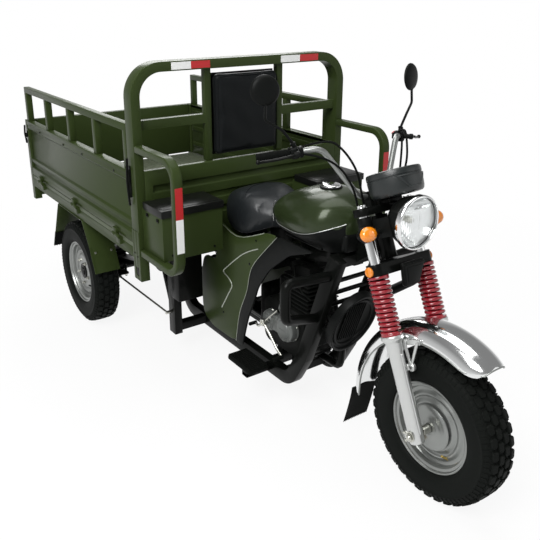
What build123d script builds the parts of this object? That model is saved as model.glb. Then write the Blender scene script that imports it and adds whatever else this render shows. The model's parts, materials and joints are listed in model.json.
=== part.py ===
from build123d import *
import os
from math import atan2, cos, degrees, radians, sin, tan

# Cargo motor tricycle, millimetres. While modelling, X is forward from the rear axle, Y is left, Z is up from the
# ground. The finished pieces are moved along X so that the origin is under the middle of the vehicle.

# Wheels
WHEELBASE = 2060
REAR_TRACK = 985
TYRE_RADIUS = 280
TYRE_WIDTH = 138
TREAD_WIDTH = 104
SHOULDER_RADIUS = 256
FLANGE_RADIUS = 169
RIM_WIDTH = 104
RIM_LIP = 17
DISC_DEPTH = 32
STEP_RADIUS = 94
STEP_RISE = 10
DISC_WALL = 8
TYRE_GAP = 0.3
HUB_RADIUS = 62
HUB_PILOT_RADIUS = 42
AXLE_RADIUS = 9
AXLE_GAP = 0.3
RUNNING_GAP = 6
BRAKE_PLATE_RISE = 10

# Steering head and fork, measured along the fork from the front axle
RAKE = 24
FORK_OFFSET = 45
LEG_SPACING = 226
TUBE_RADIUS = 19
SLIDER_RADIUS = 27
SLIDER_DROP = 32
SLIDER_TOP = 352
COLLAR_RADIUS = 40
COLLAR_HEIGHT = 12
SPRING_RADIUS = 38
SPRING_CORE = 27
SPRING_TURNS = 9
SPRING_SIDES = 16
SPRING_WIRE = 12
LOWER_CLAMP = 562
LOWER_CLAMP_HEIGHT = 42
UPPER_CLAMP = 775
UPPER_CLAMP_HEIGHT = 28
TUBE_TOP = 814
CLAMP_RADIUS = 33
STEM_RADIUS = 14
HEAD_RADIUS = 30
HEAD_GAP = 7
SLIP = 0.2
BEND_STEP = 0.55

# Front fender
FENDER_CROWN = 385
FENDER_EDGE = 326
FENDER_WIDTH = 156
FENDER_WALL = 3
FENDER_FLAT = 0.45
FENDER_FRONT = 57
FENDER_REAR = 185
FLAP_LENGTH = 185
FLAP_FLARE = 42
FLAP_WALL = 5

# Handlebar and what it carries
BAR_RADIUS = 11
BAR_CENTRE = 64
BAR_RISER_X = 1670
BAR_RISER_Z = 1028
BAR_BEND_X = 1588
BAR_BEND_Y = 183
BAR_BEND_Z = 1210
BAR_END_X = 1453
BAR_END_Y = 365
BAR_END_Z = 1172
BAR_BEND_RADIUS = 45
GRIP_RADIUS = 16
GRIP_LENGTH = 122
CONTROL_RADIUS = 22
CONTROL_LENGTH = 46
LEVER_REACH = 48
LEVER_RADIUS = 6
MIRROR_X = 1490
MIRROR_Y = 352
MIRROR_Z = 1411
MIRROR_RADIUS = 53
MIRROR_DEPTH = 18
MIRROR_STEM_RADIUS = 5
MIRROR_FACING = (1, -0.32, 0.1)
CABLE_RADIUS = 4
CABLE_BEND = 26
# Control cables on the right, as points forward, left and up along the fork, after the control that each leaves
THROTTLE_CABLE = ((-2, -186, 1064), (28, -152, 1012), (34, -120, 930), (-4, -93, 860), (-22, -81, 797))
LEVER_CABLE = ((-20, -170, 1000), (-14, -104, 872), (-33, -103, 797))
BRAKE_CABLE_RADIUS = 3
BRAKE_CABLE = ((-28, -65, 569), (-48, -80, 440), (-48, -100, 330), (-46, -100, 170), (-48, -70, 90), (-43, -47, 46))

# Instruments, lamps and horn
POD_OFFSET = 74
POD_BOTTOM = 818
POD_HEIGHT = 90
POD_RADIUS = 97
LAMP_OFFSET = 131
LAMP_DROP = 63
LAMP_RADIUS = 98
LAMP_DEPTH = 96
LAMP_RIM_DEPTH = 22
LAMP_RIM_WALL = 9
EAR_HEIGHT = 40
EAR_GAP = 5
EAR_WALL = 6
INDICATOR_RADIUS = 28
INDICATOR_DEPTH = 42
INDICATOR_SPREAD = 330
INDICATOR_OFFSET = 60
REFLECTOR_RADIUS = 18
REFLECTOR_DEPTH = 7
HORN_TOP_WIDTH = 112
HORN_BOTTOM_WIDTH = 72
HORN_HEIGHT = 92
HORN_DROP = 60
HORN_DEPTH = 26
HORN_GAP = 10

# Main frame
FRAME_SPREAD = 240
FRAME_WIDTH = 40
FRAME_DEPTH = 60
FRAME_TOP_X = 1630
FRAME_TOP_Z = 792
FRAME_KNEE_X = 1448
FRAME_KNEE_Z = 300
FRAME_TOE_REACH = 88
FRAME_LOW_Z = 148
FRAME_HEEL_X = 470
FRAME_BEND = 90
RUNG_RADIUS = 9
RUNG_HEIGHTS = (440, 500, 560, 620, 680)
RAIL_SPREAD = 660
RAIL_WIDTH = 50
RAIL_BOTTOM = 560
SPINE_WIDTH = 44
SPINE_DEPTH = 50
HANGER_X = 640
HANGER_SPREAD = 600
HANGER_WIDTH = 40
HANGER_DEPTH = 60
STRUT_REACH = 150
STRUT_SIZE = 26

# Cargo bed
BED_WIDTH = 1120
BED_REAR_X = -645
SILL_BOTTOM = 622
SILL_WIDTH = 60
FLOOR_WALL = 20
FLOOR_TOP = 690
GATE_TOP = 1019
GATE_WALL = 35
GATE_RECESS = 12
GATE_GAP = 5
GATE_FLOOR_GAP = 5
RAIL_TOP = 1213
RAIL_TUBE = 33
UPRIGHT_WIDTH = 36
UPRIGHTS = 4
HINGE_RADIUS = 9
HINGE_OFFSET = 15
HINGE_LENGTH = 40
HINGE_GAP = 0.5
POST_DEPTH = 40
POST_BOTTOM = 540
LAMP_PROUD = 12
TAIL_LAMP_INSET = 110
TAIL_LAMP_LENGTH = 120
TAIL_LAMP_HEIGHT = 46
TAIL_LAMP_GAP = 4
PLATE_HOLE_SPACING = 140
PLATE_HOLE_RADIUS = 3.3
PLATE_Z = 600
HOOP_X = 814
HOOP_DEPTH = 70
HOOP_TUBE = 40
HOOP_TOP = 1460
HOOP_FOOT = 527
HOOP_BEND = 120
FRONT_WALL = 29
STILE_SPREAD = 382
STILE_WIDTH = 30
BRACE_Z = 1207
BRACE_HEIGHT = 40
PAD_BOTTOM = 1030
PAD_TOP = 1405
PAD_DEPTH = 55

# Side guards and toolboxes
GUARD_FRONT_X = 1190
GUARD_TOP = 1133
GUARD_BOTTOM = 647
GUARD_TUBE = 30
GUARD_BEND = 75
BOX_FRONT_X = 1038
BOX_INNER_Y = 258
BOX_OUTER_Y = 540
BOX_TOP = 866
BOX_WALL = 4
LID_TOP = 897
LID_WALL = 4
LID_OVERHANG = 5
LID_SEAT = 0.5
LID_HINGE_RADIUS = 6
LID_AXIS_GAP = 13
LID_EDGE_GAP = 8
LID_KNUCKLE = 24

# Saddle, tank and side panels
SEAT_REAR_X = 858
SEAT_FRONT_X = 1174
SEAT_BOTTOM = 764
# Saddle sections: place along X, half width, height of the skirt, height of the crown
SEAT_SECTIONS = ((SEAT_REAR_X, 126, 752, 868), (888, 146, 736, 890), (960, 153, 720, 910), (1045, 148, 722, 900),
                 (1115, 120, 748, 884), (SEAT_FRONT_X, 90, 776, 866))
PANEL_Y = 172
PANEL_WALL = 10
PANEL_STAYS = ((800, 232), (980, 612))
# Side panel edge as X and height, then the black arch that meets its front edge
PANEL_FRONT = ((1326, 806), (1210, 660), (1175, 510))
PANEL_EDGE = ((852, 752), (910, 744), (1000, 718), (1060, 724), (1127, 746), (1238, 794)) + PANEL_FRONT + (
    (1090, 400), (1045, 300), (1015, 190), (800, 186), (712, 225), (700, 420), (735, 545), (852, 545))
ARCH_EDGE = tuple(reversed(PANEL_FRONT)) + ((1560, 806), (1410, 748), (1274, 640), (1196, 523))
STAY_RADIUS = 8
TANK_BOTTOM = 812
TANK_TOP = 1006
# Tank sections: place along X, half width, lowest and highest heights, half width of the top face
TANK_SECTIONS = (
    (1185, 95, 850, 890, 50), (1230, 132, 838, 936, 72), (1300, 156, TANK_BOTTOM, 975, 88),
    (1390, 172, TANK_BOTTOM, TANK_TOP - 3, 96), (1497, 172, TANK_BOTTOM, TANK_TOP, 96),
    (1560, 150, TANK_BOTTOM + 6, TANK_TOP - 8, 84), (1625, 62, 850, 955, 36),
)
TRIM_REAR_X = 1300
TRIM_FRONT_X = 1530
TRIM_WIDTH = 240
TRIM_HEIGHT = 20
CAP_X = 1437
CAP_RADIUS = 42
CAP_HEIGHT = 14

# Engine and what hangs on the frame
CRANKCASE_REAR_X = 1120
CRANKCASE_FRONT_X = 1405
CRANKCASE_BOTTOM = 240
CRANKCASE_TOP = 455
CRANKCASE_WIDTH = 190
COVER_DEPTH = 45
PEDAL_X = 1188
PEDAL_Z = 356
PEDAL_FRONT_X = 1330
PEDAL_LOW_Z = 250
PEDAL_WALL = 8
# Engine covers: place along X, height, radius, share of the cover depth
COVERS = ((1312, 368, 62, 1.0), (PEDAL_X, PEDAL_Z, 50, 0.8), (1275, 447, 24, 0.6))
CYLINDER_X = 1330
CYLINDER_WIDTH = 120
FIN_WIDTH = 168
FIN_WALL = 5
FIN_PITCH = 19
FIN_COUNT = 8
HEAD_BLOCK_HEIGHT = 46
PIPE_RADIUS = 17
MUFFLER_RADIUS = 45
MUFFLER_FRONT_X = 500
MUFFLER_Y = 205
MUFFLER_Z = 225
MUFFLER_LENGTH = 330
GRILLE_Z = 508
GRILLE_HEIGHT = 296
GRILLE_WIDTH = 228
GRILLE_DEPTH = 36
GRILLE_RIM = 14
GRILLE_STAND = 22
GRILLE_BAR_PITCH = 36
CRASH_TUBE_RADIUS = 20
CRASH_SPREAD = 690
CRASH_X = 1607
CRASH_TOP_Z = 715
CRASH_CORNER_Z = 737
CRASH_LOW_Z = 592
CRASH_FOOT_Z = 505
CRASH_BEND = 45
FOOT_PAD_LENGTH = 175
FOOT_PAD_WIDTH = 100
FOOT_PAD_WALL = 26
FOOT_PAD_X = 1234
FOOT_PAD_Y = 262
FOOT_PAD_Z = 219
BATTERY_REAR_X = 690
BATTERY_FRONT_X = 775
BATTERY_INNER_Y = 215
BATTERY_OUTER_Y = 345
BATTERY_BOTTOM = 340

# Rear axle and springs
AXLE_TUBE_RADIUS = 38
DIFF_RADIUS = 105
DIFF_WIDTH = 150
NOSE_LENGTH = 150
NOSE_RADIUS = 45
BRAKE_PLATE_RADIUS = 118
BRAKE_PLATE_WALL = 12
SPRING_Y = 330
LEAF_WIDTH = 50
LEAF_WALL = 8
LEAF_COUNT = 5
LEAF_LENGTH = 860
LEAF_STEP = 130
LEAF_SAG = 90
SHAFT_RADIUS = 28
MUDGUARD_WALL = 3
MUDGUARD_INNER_Y = 430
MUDGUARD_OUTER_Y = 566
# Mudguard plates as X and height, from the flap behind the wheel to the flap ahead of it
MUDGUARD_REAR = ((-357, 327), (-270, 500), (-205, 622))
MUDGUARD_FRONT = ((150, 622), (232, 494), (287, 369))
BRAKE_ROD_RADIUS = 5
BRAKE_ROD_GAP = 25
BRAKE_ROD_REAR = (70, 226)
BRAKE_ROD_FRONT = (HANGER_X, 236)

# Values that follow from the sizes above
AXLE_Z = TYRE_RADIUS
FRAME_TOE_X = FRAME_KNEE_X - FRAME_TOE_REACH
BRAKE_ROD_Y = (HANGER_SPREAD + HANGER_WIDTH) / 2 + BRAKE_ROD_GAP
EAR_MIDDLE = UPPER_CLAMP - EAR_GAP - EAR_HEIGHT / 2
LAMP_HEIGHT = UPPER_CLAMP - LAMP_DROP
BOX_BOTTOM = GUARD_BOTTOM + GUARD_TUBE
HALF_BED = BED_WIDTH / 2
HALF_LEG = LEG_SPACING / 2
HOOP_FRONT_X = HOOP_X + HOOP_DEPTH / 2
HOOP_REAR_X = HOOP_X - HOOP_DEPTH / 2
REAR_END_X = BED_REAR_X - POST_DEPTH - HINGE_OFFSET - HINGE_RADIUS
FRONT_END_X = WHEELBASE + TYRE_RADIUS
MIDDLE_X = (REAR_END_X + FRONT_END_X) / 2
STEER = Plane(
    origin=(WHEELBASE, 0, AXLE_Z),
    x_dir=(cos(radians(RAKE)), 0, sin(radians(RAKE))),
    z_dir=(-sin(radians(RAKE)), 0, cos(radians(RAKE))),
)


def block(x0, x1, y0, y1, z0, z1):
    return Pos((x0 + x1) / 2, (y0 + y1) / 2, (z0 + z1) / 2) * Box(abs(x1 - x0), abs(y1 - y0), abs(z1 - z0))


def rod(start, end, radius):
    along = Vector(*end) - Vector(*start)
    return Part(Solid.make_cylinder(radius, along.length, Plane(origin=start, z_dir=along)).wrapped)


def flat_bar(start, end, across, width, depth):
    along = Vector(*end) - Vector(*start)
    plane = Plane(origin=start, x_dir=across, z_dir=along)
    return extrude(plane * Rectangle(width, depth), along.length)


def bent_bar(points, bend, across, width, depth):
    path = FilletPolyline(*points, radius=bend)
    return sweep(Plane(origin=path @ 0, x_dir=across, z_dir=path % 0) * Rectangle(width, depth), path)


def bent_tube(points, bend, radius):
    """A round tube whose bends are mitred in short straight steps along each bend's arc."""
    curve = FilletPolyline(*points, radius=bend)
    stops = [curve @ 0]
    for edge in curve.edges():
        steps = max(1, round(edge.length / bend / BEND_STEP)) if edge.geom_type == GeomType.CIRCLE else 1
        forward = (edge @ 0 - stops[-1]).length < 1e-3
        for step in range(1, steps + 1):
            stops.append(edge @ (step / steps if forward else 1 - step / steps))
    path = Polyline(*stops)
    section = Plane(origin=path @ 0, z_dir=path % 0) * Circle(radius)
    return sweep(section, path, transition=Transition.RIGHT)


def outline(points):
    return make_face(Polyline(*points, close=True))


def turned(points):
    """Turn a closed outline of (radius, across) points about the wheel axis."""
    return revolve(outline(points), Axis.Y)


def both(part):
    return part + mirror(part, about=Plane.XZ)


def join(parts):
    whole = parts[0]
    for part in parts[1:]:
        whole = whole + part
    return whole


def facetted(rings):
    """A solid of flat facets through rings that have the same number of points, closed by its two end rings."""
    faces = [Face(Wire.make_polygon(ring)) for ring in (rings[0], rings[-1])]
    for near, far in zip(rings, rings[1:]):
        for step in range(len(near)):
            last = step - 1
            faces.append(Face(Wire.make_polygon([near[last], near[step], far[step]])))
            faces.append(Face(Wire.make_polygon([near[last], far[step], far[last]])))
    return Part(Solid(Shell(faces)).fix().wrapped)


def up_fork(part):
    return STEER * part


def at_front(part):
    return Pos(WHEELBASE, 0, AXLE_Z) * part


def at_rear(part, side):
    placed = part if side < 0 else mirror(part, about=Plane.XZ)
    return Pos(0, side * REAR_TRACK / 2, AXLE_Z) * placed


# Wheels, made about the origin with the outer side towards -Y
def tyre():
    bead = FLANGE_RADIUS + TYRE_GAP
    wall = TYRE_WIDTH / 2
    tread = TREAD_WIDTH / 2
    return turned([
        (bead, -wall), (SHOULDER_RADIUS, -wall), (TYRE_RADIUS, -tread), (TYRE_RADIUS, tread), (SHOULDER_RADIUS, wall),
        (bead, wall),
    ])


def rim():
    outer = -RIM_WIDTH / 2
    disc = outer + DISC_DEPTH
    lip = FLANGE_RADIUS - RIM_LIP
    return turned([
        (FLANGE_RADIUS, outer), (FLANGE_RADIUS, -outer), (lip, -outer), (lip, disc + DISC_WALL),
        (HUB_PILOT_RADIUS, disc + DISC_WALL), (HUB_PILOT_RADIUS, disc - STEP_RISE), (STEP_RADIUS, disc - STEP_RISE),
        (STEP_RADIUS, disc), (lip, disc), (lip, outer),
    ])


def hub(bore, back):
    """The hub: a drum behind the disc with a pilot through it, from the disc to the back across value."""
    disc = -RIM_WIDTH / 2 + DISC_DEPTH
    face = disc - STEP_RISE - RUNNING_GAP
    pilot = HUB_PILOT_RADIUS - SLIP
    drum = disc + DISC_WALL
    return turned([(bore, face), (pilot, face), (pilot, drum), (HUB_RADIUS, drum), (HUB_RADIUS, back), (bore, back)])


# Front end, with the fork pieces made in the fork's own frame: forward, left and up along the fork
def triple_clamps():
    clamps = []
    for bottom, height in ((LOWER_CLAMP, LOWER_CLAMP_HEIGHT), (UPPER_CLAMP, UPPER_CLAMP_HEIGHT)):
        back = -FORK_OFFSET - HEAD_RADIUS
        plan = outline([
            (CLAMP_RADIUS, -HALF_LEG), (CLAMP_RADIUS, HALF_LEG), (-CLAMP_RADIUS / 2, HALF_LEG), (back, HEAD_RADIUS),
            (back, -HEAD_RADIUS), (-CLAMP_RADIUS / 2, -HALF_LEG),
        ])
        plate = extrude(Plane(origin=(0, 0, bottom)) * plan, height)
        for side in (-1, 1):
            eye = Pos(0, side * HALF_LEG, bottom + height / 2)
            plate = plate + eye * Cylinder(CLAMP_RADIUS, height)
            plate = plate - eye * Cylinder(TUBE_RADIUS + SLIP, height)
        clamps.append(plate)
    stem = rod((-FORK_OFFSET, 0, LOWER_CLAMP + 1), (-FORK_OFFSET, 0, UPPER_CLAMP + 1), STEM_RADIUS)
    clamps.append(stem)
    bar = bar_in_fork()
    top = UPPER_CLAMP + UPPER_CLAMP_HEIGHT
    for side in (-1, 1):
        riser = block(bar.X - 18, bar.X + 18, side * 14, side * 34, top - 1, bar.Z + BAR_RADIUS + 6)
        hole = rod((bar.X, -60, bar.Z), (bar.X, 60, bar.Z), BAR_RADIUS + SLIP)
        clamps.append(riser - hole)
    clamps.append(block(CLAMP_RADIUS - 20, POD_OFFSET - 14, -30, 30, top - 6, POD_BOTTOM))
    return up_fork(join(clamps))


def bar_in_fork():
    return STEER.to_local_coords(Vector(BAR_RISER_X, 0, BAR_RISER_Z))


def fork_tubes():
    return up_fork(both(rod((0, HALF_LEG, SLIDER_TOP), (0, HALF_LEG, TUBE_TOP), TUBE_RADIUS)))


def fork_sliders():
    leg = rod((0, HALF_LEG, -SLIDER_DROP), (0, HALF_LEG, SLIDER_TOP - COLLAR_HEIGHT + 1), SLIDER_RADIUS)
    collar = rod((0, HALF_LEG, SLIDER_TOP - COLLAR_HEIGHT), (0, HALF_LEG, SLIDER_TOP), COLLAR_RADIUS)
    hole = rod((0, 0, 0), (0, 2 * HALF_LEG, 0), AXLE_RADIUS + SLIP)
    return up_fork(both(leg + collar - hole))


def fork_springs():
    pitch = (LOWER_CLAMP - SLIDER_TOP) / SPRING_TURNS
    coil = extrude(Pos(0, 0, SLIDER_TOP) * RegularPolygon(SPRING_CORE, SPRING_SIDES), LOWER_CLAMP - SLIDER_TOP)
    wire = extrude(RegularPolygon(SPRING_RADIUS, SPRING_SIDES), SPRING_WIRE)
    for turn in range(SPRING_TURNS):
        coil = coil + Pos(0, 0, SLIDER_TOP + turn * pitch + (pitch - SPRING_WIRE) / 2) * wire
    coil = coil - rod((0, 0, SLIDER_TOP - 1), (0, 0, LOWER_CLAMP + 1), TUBE_RADIUS + 2)
    return up_fork(both(Pos(0, HALF_LEG, 0) * coil))


def front_axle():
    end = HALF_LEG + SLIDER_RADIUS + 14
    rod_part = rod((0, -end, 0), (0, end, 0), AXLE_RADIUS)
    inner = HALF_LEG - SLIDER_RADIUS
    disc = -RIM_WIDTH / 2 + DISC_DEPTH
    plate = disc - STEP_RISE - 2 * RUNNING_GAP
    pieces = [
        rod_part,
        rod((0, -inner, 0), (0, plate, 0), AXLE_RADIUS + 7),
        rod((0, plate - BRAKE_PLATE_RISE, 0), (0, plate, 0), STEP_RADIUS - 8),
        rod((0, hub_back() + RUNNING_GAP, 0), (0, inner, 0), AXLE_RADIUS + 7),
    ]
    for side in (-1, 1):
        pieces.append(rod((0, side * (HALF_LEG + SLIDER_RADIUS), 0), (0, side * (end - 4), 0), AXLE_RADIUS + 6))
    return at_front(join(pieces))


def hub_back():
    return RIM_WIDTH / 2 - 4


def handlebar_points():
    right = [
        (BAR_END_X, -BAR_END_Y, BAR_END_Z), (BAR_BEND_X, -BAR_BEND_Y, BAR_BEND_Z),
        (BAR_RISER_X, -BAR_CENTRE, BAR_RISER_Z),
    ]
    left = [(x, -y, z) for x, y, z in reversed(right)]
    return right + left


def handlebar():
    return bent_tube(handlebar_points(), BAR_BEND_RADIUS, BAR_RADIUS)


def grip_plane():
    """Frame at the right bar end: X along the grip towards the middle, Z up across it."""
    end = Vector(BAR_END_X, -BAR_END_Y, BAR_END_Z)
    along = Vector(BAR_BEND_X, -BAR_BEND_Y, BAR_BEND_Z) - end
    return Plane(origin=end, x_dir=along, z_dir=Vector(0, 0, 1) - along * (along.Z / along.length ** 2))


def hand_controls():
    grip = rod((0, 0, 0), (GRIP_LENGTH, 0, 0), GRIP_RADIUS)
    switch = rod((GRIP_LENGTH - 1, 0, 0), (GRIP_LENGTH + CONTROL_LENGTH, 0, 0), CONTROL_RADIUS)
    start = GRIP_LENGTH + CONTROL_LENGTH / 2
    perch = block(start - 12, start + 12, -LEVER_REACH - 8, 0, -9, 9)
    lever = rod((start, -LEVER_REACH, 0), (4, -LEVER_REACH - 12, 0), LEVER_RADIUS)
    foot, boss_end, _ = mirror_line()
    hole = rod((-1, 0, 0), (GRIP_LENGTH + CONTROL_LENGTH + 1, 0, 0), BAR_RADIUS + SLIP)
    boss = rod(tuple(foot), tuple(boss_end), MIRROR_STEM_RADIUS + 3)
    hole = grip_plane() * hole
    return both(grip_plane() * (grip + switch + perch + lever) + boss - hole)


def control_cables():
    """The two cables that leave each hand control, and the one from the lower clamp to the front brake plate."""
    inner = GRIP_LENGTH + CONTROL_LENGTH
    clamp_top = UPPER_CLAMP + UPPER_CLAMP_HEIGHT
    plate = -RIM_WIDTH / 2 + DISC_DEPTH - STEP_RISE - 2 * RUNNING_GAP - BRAKE_PLATE_RISE
    reach = 2 * HALF_LEG
    runs = []
    for across, up, route in ((0, 15, THROTTLE_CABLE), (-15, -8, LEVER_CABLE)):
        start = STEER.to_local_coords(grip_plane().from_local_coords(Vector(inner - 6, across, up)))
        runs.append(bent_tube([start] + list(route), CABLE_BEND, CABLE_RADIUS))
    upper = up_fork(join(runs) - block(-reach, reach, -reach, 0, UPPER_CLAMP, clamp_top))
    upper = upper - grip_plane() * block(0, inner, -LEVER_REACH, LEVER_REACH, -LEVER_REACH, LEVER_REACH)
    brake = bent_tube(BRAKE_CABLE, CABLE_BEND, BRAKE_CABLE_RADIUS)
    brake = brake - block(-reach, reach, -reach, 0, LOWER_CLAMP, clamp_top) - block(-reach, 0, plate, 0, 0, reach)
    return both(upper) + up_fork(brake)


def mirror_line():
    """The middle of the right control, the end of the boss on it, and the middle of the mirror."""
    foot = grip_plane().from_local_coords(Vector(GRIP_LENGTH + CONTROL_LENGTH / 2, 0, 0))
    glass = Vector(MIRROR_X, -MIRROR_Y, MIRROR_Z)
    return foot, foot + (glass - foot).normalized() * (CONTROL_RADIUS + 16), glass


def mirrors():
    _, boss_end, glass = mirror_line()
    stem = rod(tuple(boss_end), tuple(glass), MIRROR_STEM_RADIUS)
    shell = Plane(origin=glass, z_dir=MIRROR_FACING) * Cylinder(MIRROR_RADIUS, MIRROR_DEPTH)
    return both(stem + shell)


def instrument_pod():
    height = POD_BOTTOM + POD_HEIGHT / 2
    return up_fork(Pos(POD_OFFSET, 0, height) * Cylinder(POD_RADIUS, POD_HEIGHT))


def lamp_centre():
    return STEER.from_local_coords(Vector(LAMP_OFFSET, 0, LAMP_HEIGHT))


def headlamp_shell():
    centre = lamp_centre()
    back = centre.X - LAMP_DEPTH
    front = centre.X - LAMP_RIM_DEPTH / 2
    middle = front - 0.4 * (front - back)
    wide = LAMP_RADIUS - 6
    bucket = rod((middle, 0, centre.Z), (front, 0, centre.Z), wide)
    bucket = bucket + rod((back, 0, centre.Z), (middle, 0, centre.Z), wide * 0.72)
    ears = []
    stalk_u = INDICATOR_OFFSET - INDICATOR_DEPTH / 4
    for side in (-1, 1):
        eye = Pos(0, side * HALF_LEG, EAR_MIDDLE)
        ring = eye * Cylinder(TUBE_RADIUS + EAR_WALL, EAR_HEIGHT)
        arm_y = side * (wide - 14)
        arm = block(10, LAMP_OFFSET - 30, arm_y, side * (HALF_LEG - TUBE_RADIUS + 4), LAMP_HEIGHT - 24, EAR_MIDDLE + 6)
        stalk = rod((stalk_u, side * (wide - 4), LAMP_HEIGHT), (stalk_u, side * INDICATOR_SPREAD / 2, LAMP_HEIGHT), 9)
        shade = Pos(stalk_u, side * INDICATOR_SPREAD / 2, LAMP_HEIGHT)
        shade = shade * Rot(0, 90, 0) * Cylinder(INDICATOR_RADIUS, INDICATOR_DEPTH / 2)
        hole = eye * Cylinder(TUBE_RADIUS + SLIP, 4 * EAR_HEIGHT)
        ears.append(up_fork(ring + arm + stalk + shade - hole))
    return bucket + ears[0] + ears[1]


def headlamp_rim():
    centre = lamp_centre()
    ring = Cylinder(LAMP_RADIUS, LAMP_RIM_DEPTH) - Cylinder(LAMP_RADIUS - LAMP_RIM_WALL, LAMP_RIM_DEPTH)
    return Pos(centre.X, 0, centre.Z) * Rot(0, 90, 0) * ring


def headlamp_lens():
    centre = lamp_centre()
    glass = Cylinder(LAMP_RADIUS - LAMP_RIM_WALL - SLIP, LAMP_RIM_DEPTH - 6)
    return Pos(centre.X - 3, 0, centre.Z) * Rot(0, 90, 0) * glass


def amber_lenses():
    lens = Pos(INDICATOR_OFFSET + INDICATOR_DEPTH / 4, INDICATOR_SPREAD / 2, LAMP_HEIGHT)
    lens = lens * Rot(0, 90, 0) * Cylinder(INDICATOR_RADIUS - 2, INDICATOR_DEPTH / 2)
    face = HALF_LEG + CLAMP_RADIUS
    reflector = rod((0, face, LOWER_CLAMP + 20), (0, face + REFLECTOR_DEPTH, LOWER_CLAMP + 20), REFLECTOR_RADIUS)
    return up_fork(both(lens + reflector))


def horn_cover():
    """An upright cover ahead of the lower clamp, with the stay that carries it."""
    foot = STEER.from_local_coords(Vector(CLAMP_RADIUS + HORN_GAP, 0, LOWER_CLAMP))
    low = foot.Z - HORN_DROP
    face = outline([
        (-HORN_TOP_WIDTH / 2, low + HORN_HEIGHT), (HORN_TOP_WIDTH / 2, low + HORN_HEIGHT),
        (HORN_BOTTOM_WIDTH / 2, low), (-HORN_BOTTOM_WIDTH / 2, low),
    ])
    plane = Plane(origin=(foot.X, 0, 0), x_dir=(0, 1, 0), z_dir=(1, 0, 0))
    stay = block(CLAMP_RADIUS, CLAMP_RADIUS + 2 * HORN_GAP, -HORN_BOTTOM_WIDTH / 4, HORN_BOTTOM_WIDTH / 4,
                 LOWER_CLAMP + 2, LOWER_CLAMP + LOWER_CLAMP_HEIGHT / 2)
    return extrude(plane * face, HORN_DEPTH) + up_fork(stay)


def swept_guard(points, start, end):
    """Turn an outline of (radius, across) points about the wheel axis between two angles up from forward."""
    return Rot(0, -end, 0) * revolve(outline(points), Axis.Y, revolution_arc=end - start)


def front_fender():
    half = FENDER_WIDTH / 2
    rows = ((FENDER_EDGE, half), (FENDER_CROWN, half * FENDER_FLAT))
    outer = [(radius, -across) for radius, across in rows] + [(radius, across) for radius, across in reversed(rows)]
    inner = [(radius - FENDER_WALL, across) for radius, across in reversed(outer)]
    return at_front(swept_guard(outer + inner, FENDER_FRONT, FENDER_REAR))


def fender_flap():
    """A plate that hangs from the fender's rear end and flares back towards the ground."""
    half = FENDER_WIDTH * 0.4
    top = []
    for radius in (FENDER_CROWN, FENDER_CROWN - FLAP_WALL):
        top.append((WHEELBASE + radius * cos(radians(FENDER_REAR)), AXLE_Z + radius * sin(radians(FENDER_REAR))))
    low = [(x - FLAP_FLARE, z - FLAP_LENGTH) for x, z in reversed(top)]
    plane = Plane(origin=(0, half, 0), x_dir=(1, 0, 0), z_dir=(0, -1, 0))
    return extrude(plane * outline(top + low), 2 * half)


def fender_stays():
    inner = HALF_LEG - SLIDER_RADIUS
    edge = FENDER_WIDTH / 2
    return up_fork(both(block(-24, 24, edge, inner, FENDER_EDGE - 24, FENDER_EDGE + 10)))


# Main frame, engine and what hangs on them
def frame_line(side):
    y = side * FRAME_SPREAD / 2
    return [
        (FRAME_TOP_X, y, FRAME_TOP_Z), (FRAME_KNEE_X, y, FRAME_KNEE_Z), (FRAME_TOE_X, y, FRAME_LOW_Z),
        (FRAME_HEEL_X, y, FRAME_LOW_Z), (FRAME_HEEL_X - 130, y, RAIL_BOTTOM + 20),
    ]


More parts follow.
